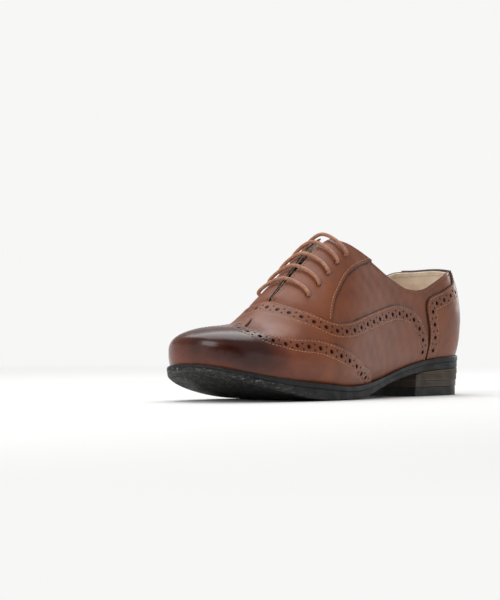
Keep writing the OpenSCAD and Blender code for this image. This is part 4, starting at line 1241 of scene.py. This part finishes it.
def swept(path, radius, sides):
    """Points and faces of a tube; radius is a function of the distance along and the angle."""
    t = np.gradient(path, axis=0)
    t /= np.linalg.norm(t, axis=1, keepdims=True)
    s = arc_lengths(path)
    side = np.cross(t[0], [0.1, 0.2, 1.0])
    a = np.arange(sides) * 2 * math.pi / sides
    points = []
    for p, d, u in zip(path, t, s):
        side = side - d * (side @ d)
        side /= np.linalg.norm(side)
        ring = np.cos(a)[:, None] * side + np.sin(a)[:, None] * np.cross(d, side)
        points.append(p + radius(u, a)[:, None] * ring)
    n = len(path)
    faces = [[i * sides + k, i * sides + (k + 1) % sides, (i + 1) * sides + (k + 1) % sides,
              (i + 1) * sides + k] for i in range(n - 1) for k in range(sides)]
    faces.append([k for k in range(sides)][::-1])
    faces.append([(n - 1) * sides + k for k in range(sides)])
    return np.vstack(points), faces


BRAID_TURN = 2 * math.pi / 7.0
BRAID_STRANDS = 6


def build_lace():
    route = lace_route()
    path = even(smooth(route, 10), 0.45)

    def braid(u, a):
        up = np.cos(BRAID_STRANDS * (a / 1.0 + BRAID_TURN * u / BRAID_STRANDS * 2))
        down = np.cos(BRAID_STRANDS * (a - BRAID_TURN * u / BRAID_STRANDS * 2))
        return (LACE_R - 0.05) * (1 + 0.045 * np.maximum(up, down))
    points, faces = swept(path, braid, 24)
    lace = mesh_object("lace", points, faces, LACE, replaces=["lace"], sharp=75)
    for k, (a, b) in enumerate(((route[1], route[0]), (route[-2], route[-1]))):
        d = (b - a) / np.linalg.norm(b - a)
        u = np.concatenate([np.linspace(0, 15.2, 12), 15.2 + 0.8 * np.sin(np.linspace(0.2, 1.5, 6))])
        line = b + d * (0.05 + u[:, None])

        def taper(s, angle):
            end = np.clip((s - 15.2) / 0.8, 0, 1)
            return (LACE_R - 0.15 - 0.12 * s / 16) * math.sqrt(max(0.02, 1 - end**2)) * np.ones(len(angle))
        points, faces = swept(line, taper, 20)
        mesh_object("lace_tip_%d" % (k + 1), points, faces, TIP,
                                replaces=["lace_tips"] if k == 0 else [])


# ---------------------------------------------------------------- camera, light and floor
CAMERA_TURN = 52.0
CAMERA_RISE = 0.5
CAMERA_DISTANCE = 2300.0
LENS = 207.0
SENSOR = 36.0
TARGET = np.array([131.0, 0.0, 50.0])
TARGET_RIGHT = 1.212    # degrees right of the middle of the view
TARGET_DOWN = 0.382     # degrees below it


def build_camera():
    turn, rise = math.radians(CAMERA_TURN), math.radians(CAMERA_RISE)
    c = np.array([math.sin(turn) * math.cos(rise), math.cos(turn) * math.cos(rise), math.sin(rise)])
    eye = TARGET + CAMERA_DISTANCE * c
    cam = bpy.data.cameras.new("camera")
    cam.sensor_fit = "VERTICAL"
    cam.sensor_height = SENSOR
    cam.lens = LENS
    cam.clip_end = 50
    piece = bpy.data.objects.new("camera", cam)
    bpy.context.scene.collection.objects.link(piece)
    back = Vector(c)
    right = Vector((0, 0, 1)).cross(back).normalized()
    up = back.cross(right)
    ray = (-back + math.tan(math.radians(TARGET_RIGHT)) * right
           - math.tan(math.radians(TARGET_DOWN)) * up).normalized()
    turned = ray.rotation_difference(-back)
    m = turned.to_matrix() @ Matrix((right, up, back)).transposed()
    piece.matrix_world = m.to_4x4()
    piece.location = Vector((eye - SHIFT) * MM)
    bpy.context.scene.camera = piece


def area_light(name, where, size, power, colour=(1, 1, 1), look=(0, 0, 0.04)):
    light = bpy.data.lights.new(name, "AREA")
    light.shape = "RECTANGLE"
    light.size, light.size_y = size
    light.energy = power
    light.color = colour
    lamp = bpy.data.objects.new(name, light)
    bpy.context.scene.collection.objects.link(lamp)
    lamp.location = where
    lamp.rotation_euler = (Vector(look) - Vector(where)).to_track_quat("-Z", "Y").to_euler()
    return lamp


def build_flag():
    """A dark card beside the camera that only reflections see, as in a photographer's studio."""
    f = Finish("flag_cloth")
    f.finish(Base_Color=(0.01, 0.01, 0.01, 1), Roughness=1.0, Specular_IOR_Level=0.0)
    turn = math.radians(CAMERA_TURN)
    out, across = np.array([math.sin(turn), math.cos(turn)]), np.array([-math.cos(turn), math.sin(turn)])
    mesh = bpy.data.meshes.new("flag")
    corners = [(-1.3, 0.02), (1.3, 0.02), (1.3, 1.5), (-1.3, 1.5)]
    mesh.from_pydata([tuple(out * 1.95 + across * u) + (z,) for u, z in corners], [], [[0, 1, 2, 3]])
    mesh.materials.append(f.mat)
    flag = bpy.data.objects.new("flag", mesh)
    bpy.context.scene.collection.objects.link(flag)
    flag.visible_camera = flag.visible_diffuse = flag.visible_shadow = False


def build_stage():
    f = Finish("floor_paint")
    f.finish(Base_Color=(0.82, 0.82, 0.815, 1), Roughness=0.8)
    # far from the object the floor glows evenly, as a lit studio backdrop does
    away = f.add("ShaderNodeVectorMath", {"operation": "LENGTH"}).inputs[0]
    f.feed(away, f.where)
    glow = f.add("ShaderNodeEmission", Color=(0.93, 0.93, 0.925, 1), Strength=1.0)
    blend = f.add("ShaderNodeMixShader")
    f.feed(blend.inputs[0], f.span(away.node.outputs["Value"], 0.3, 1.2))
    f.feed(blend.inputs[1], f.shader.outputs[0])
    f.feed(blend.inputs[2], glow.outputs[0])
    f.feed(f.nodes["Material Output"].inputs["Surface"], blend.outputs[0])
    # a floor that turns up into a low wall all round, far behind the object
    turn = np.linspace(0, 1.3, 14)
    rings = [(0.0, 0.0), (3.2, 0.0)] + list(zip(3.2 + 1.3 * np.sin(turn[1:]), 1.3 * (1 - np.cos(turn[1:]))))
    a = np.arange(96) * 2 * math.pi / 96
    points = np.vstack([np.column_stack([r * np.cos(a), r * np.sin(a), z + 0 * a]) for r, z in rings[1:]]
                       + [np.zeros((1, 3))])
    n = len(a)
    faces = [[i * n + k, i * n + (k + 1) % n, (i + 1) * n + (k + 1) % n, (i + 1) * n + k]
             for i in range(len(rings) - 2) for k in range(n)]
    faces += [[len(points) - 1, k, (k + 1) % n] for k in range(n)]
    mesh = bpy.data.meshes.new("floor")
    mesh.from_pydata(points.tolist(), [], faces)
    mesh.shade_smooth()
    mesh.materials.append(f.mat)
    floor = bpy.data.objects.new("floor", mesh)
    bpy.context.scene.collection.objects.link(floor)
    world = bpy.data.worlds.new("studio")
    world.use_nodes = True
    world.node_tree.nodes["Background"].inputs["Color"].default_value = (1, 1, 1, 1)
    world.node_tree.nodes["Background"].inputs["Strength"].default_value = 0.4
    bpy.context.scene.world = world
    area_light("top_softbox", (-0.25, -0.35, 1.3), (1.3, 1.3), 15)
    area_light("front_softbox", (1.45, 0.05, 0.95), (1.0, 1.0), 13)
    area_light("heel_softbox", (-1.4, -0.1, 0.4), (0.6, 0.6), 4)
    build_flag()
    bpy.context.scene.view_settings.view_transform = "Standard"


build_camera()
build_lace()
build_upper()
build_linings()
build_tongue()
build_sock()
build_bottom()
build_heel()
build_stage()
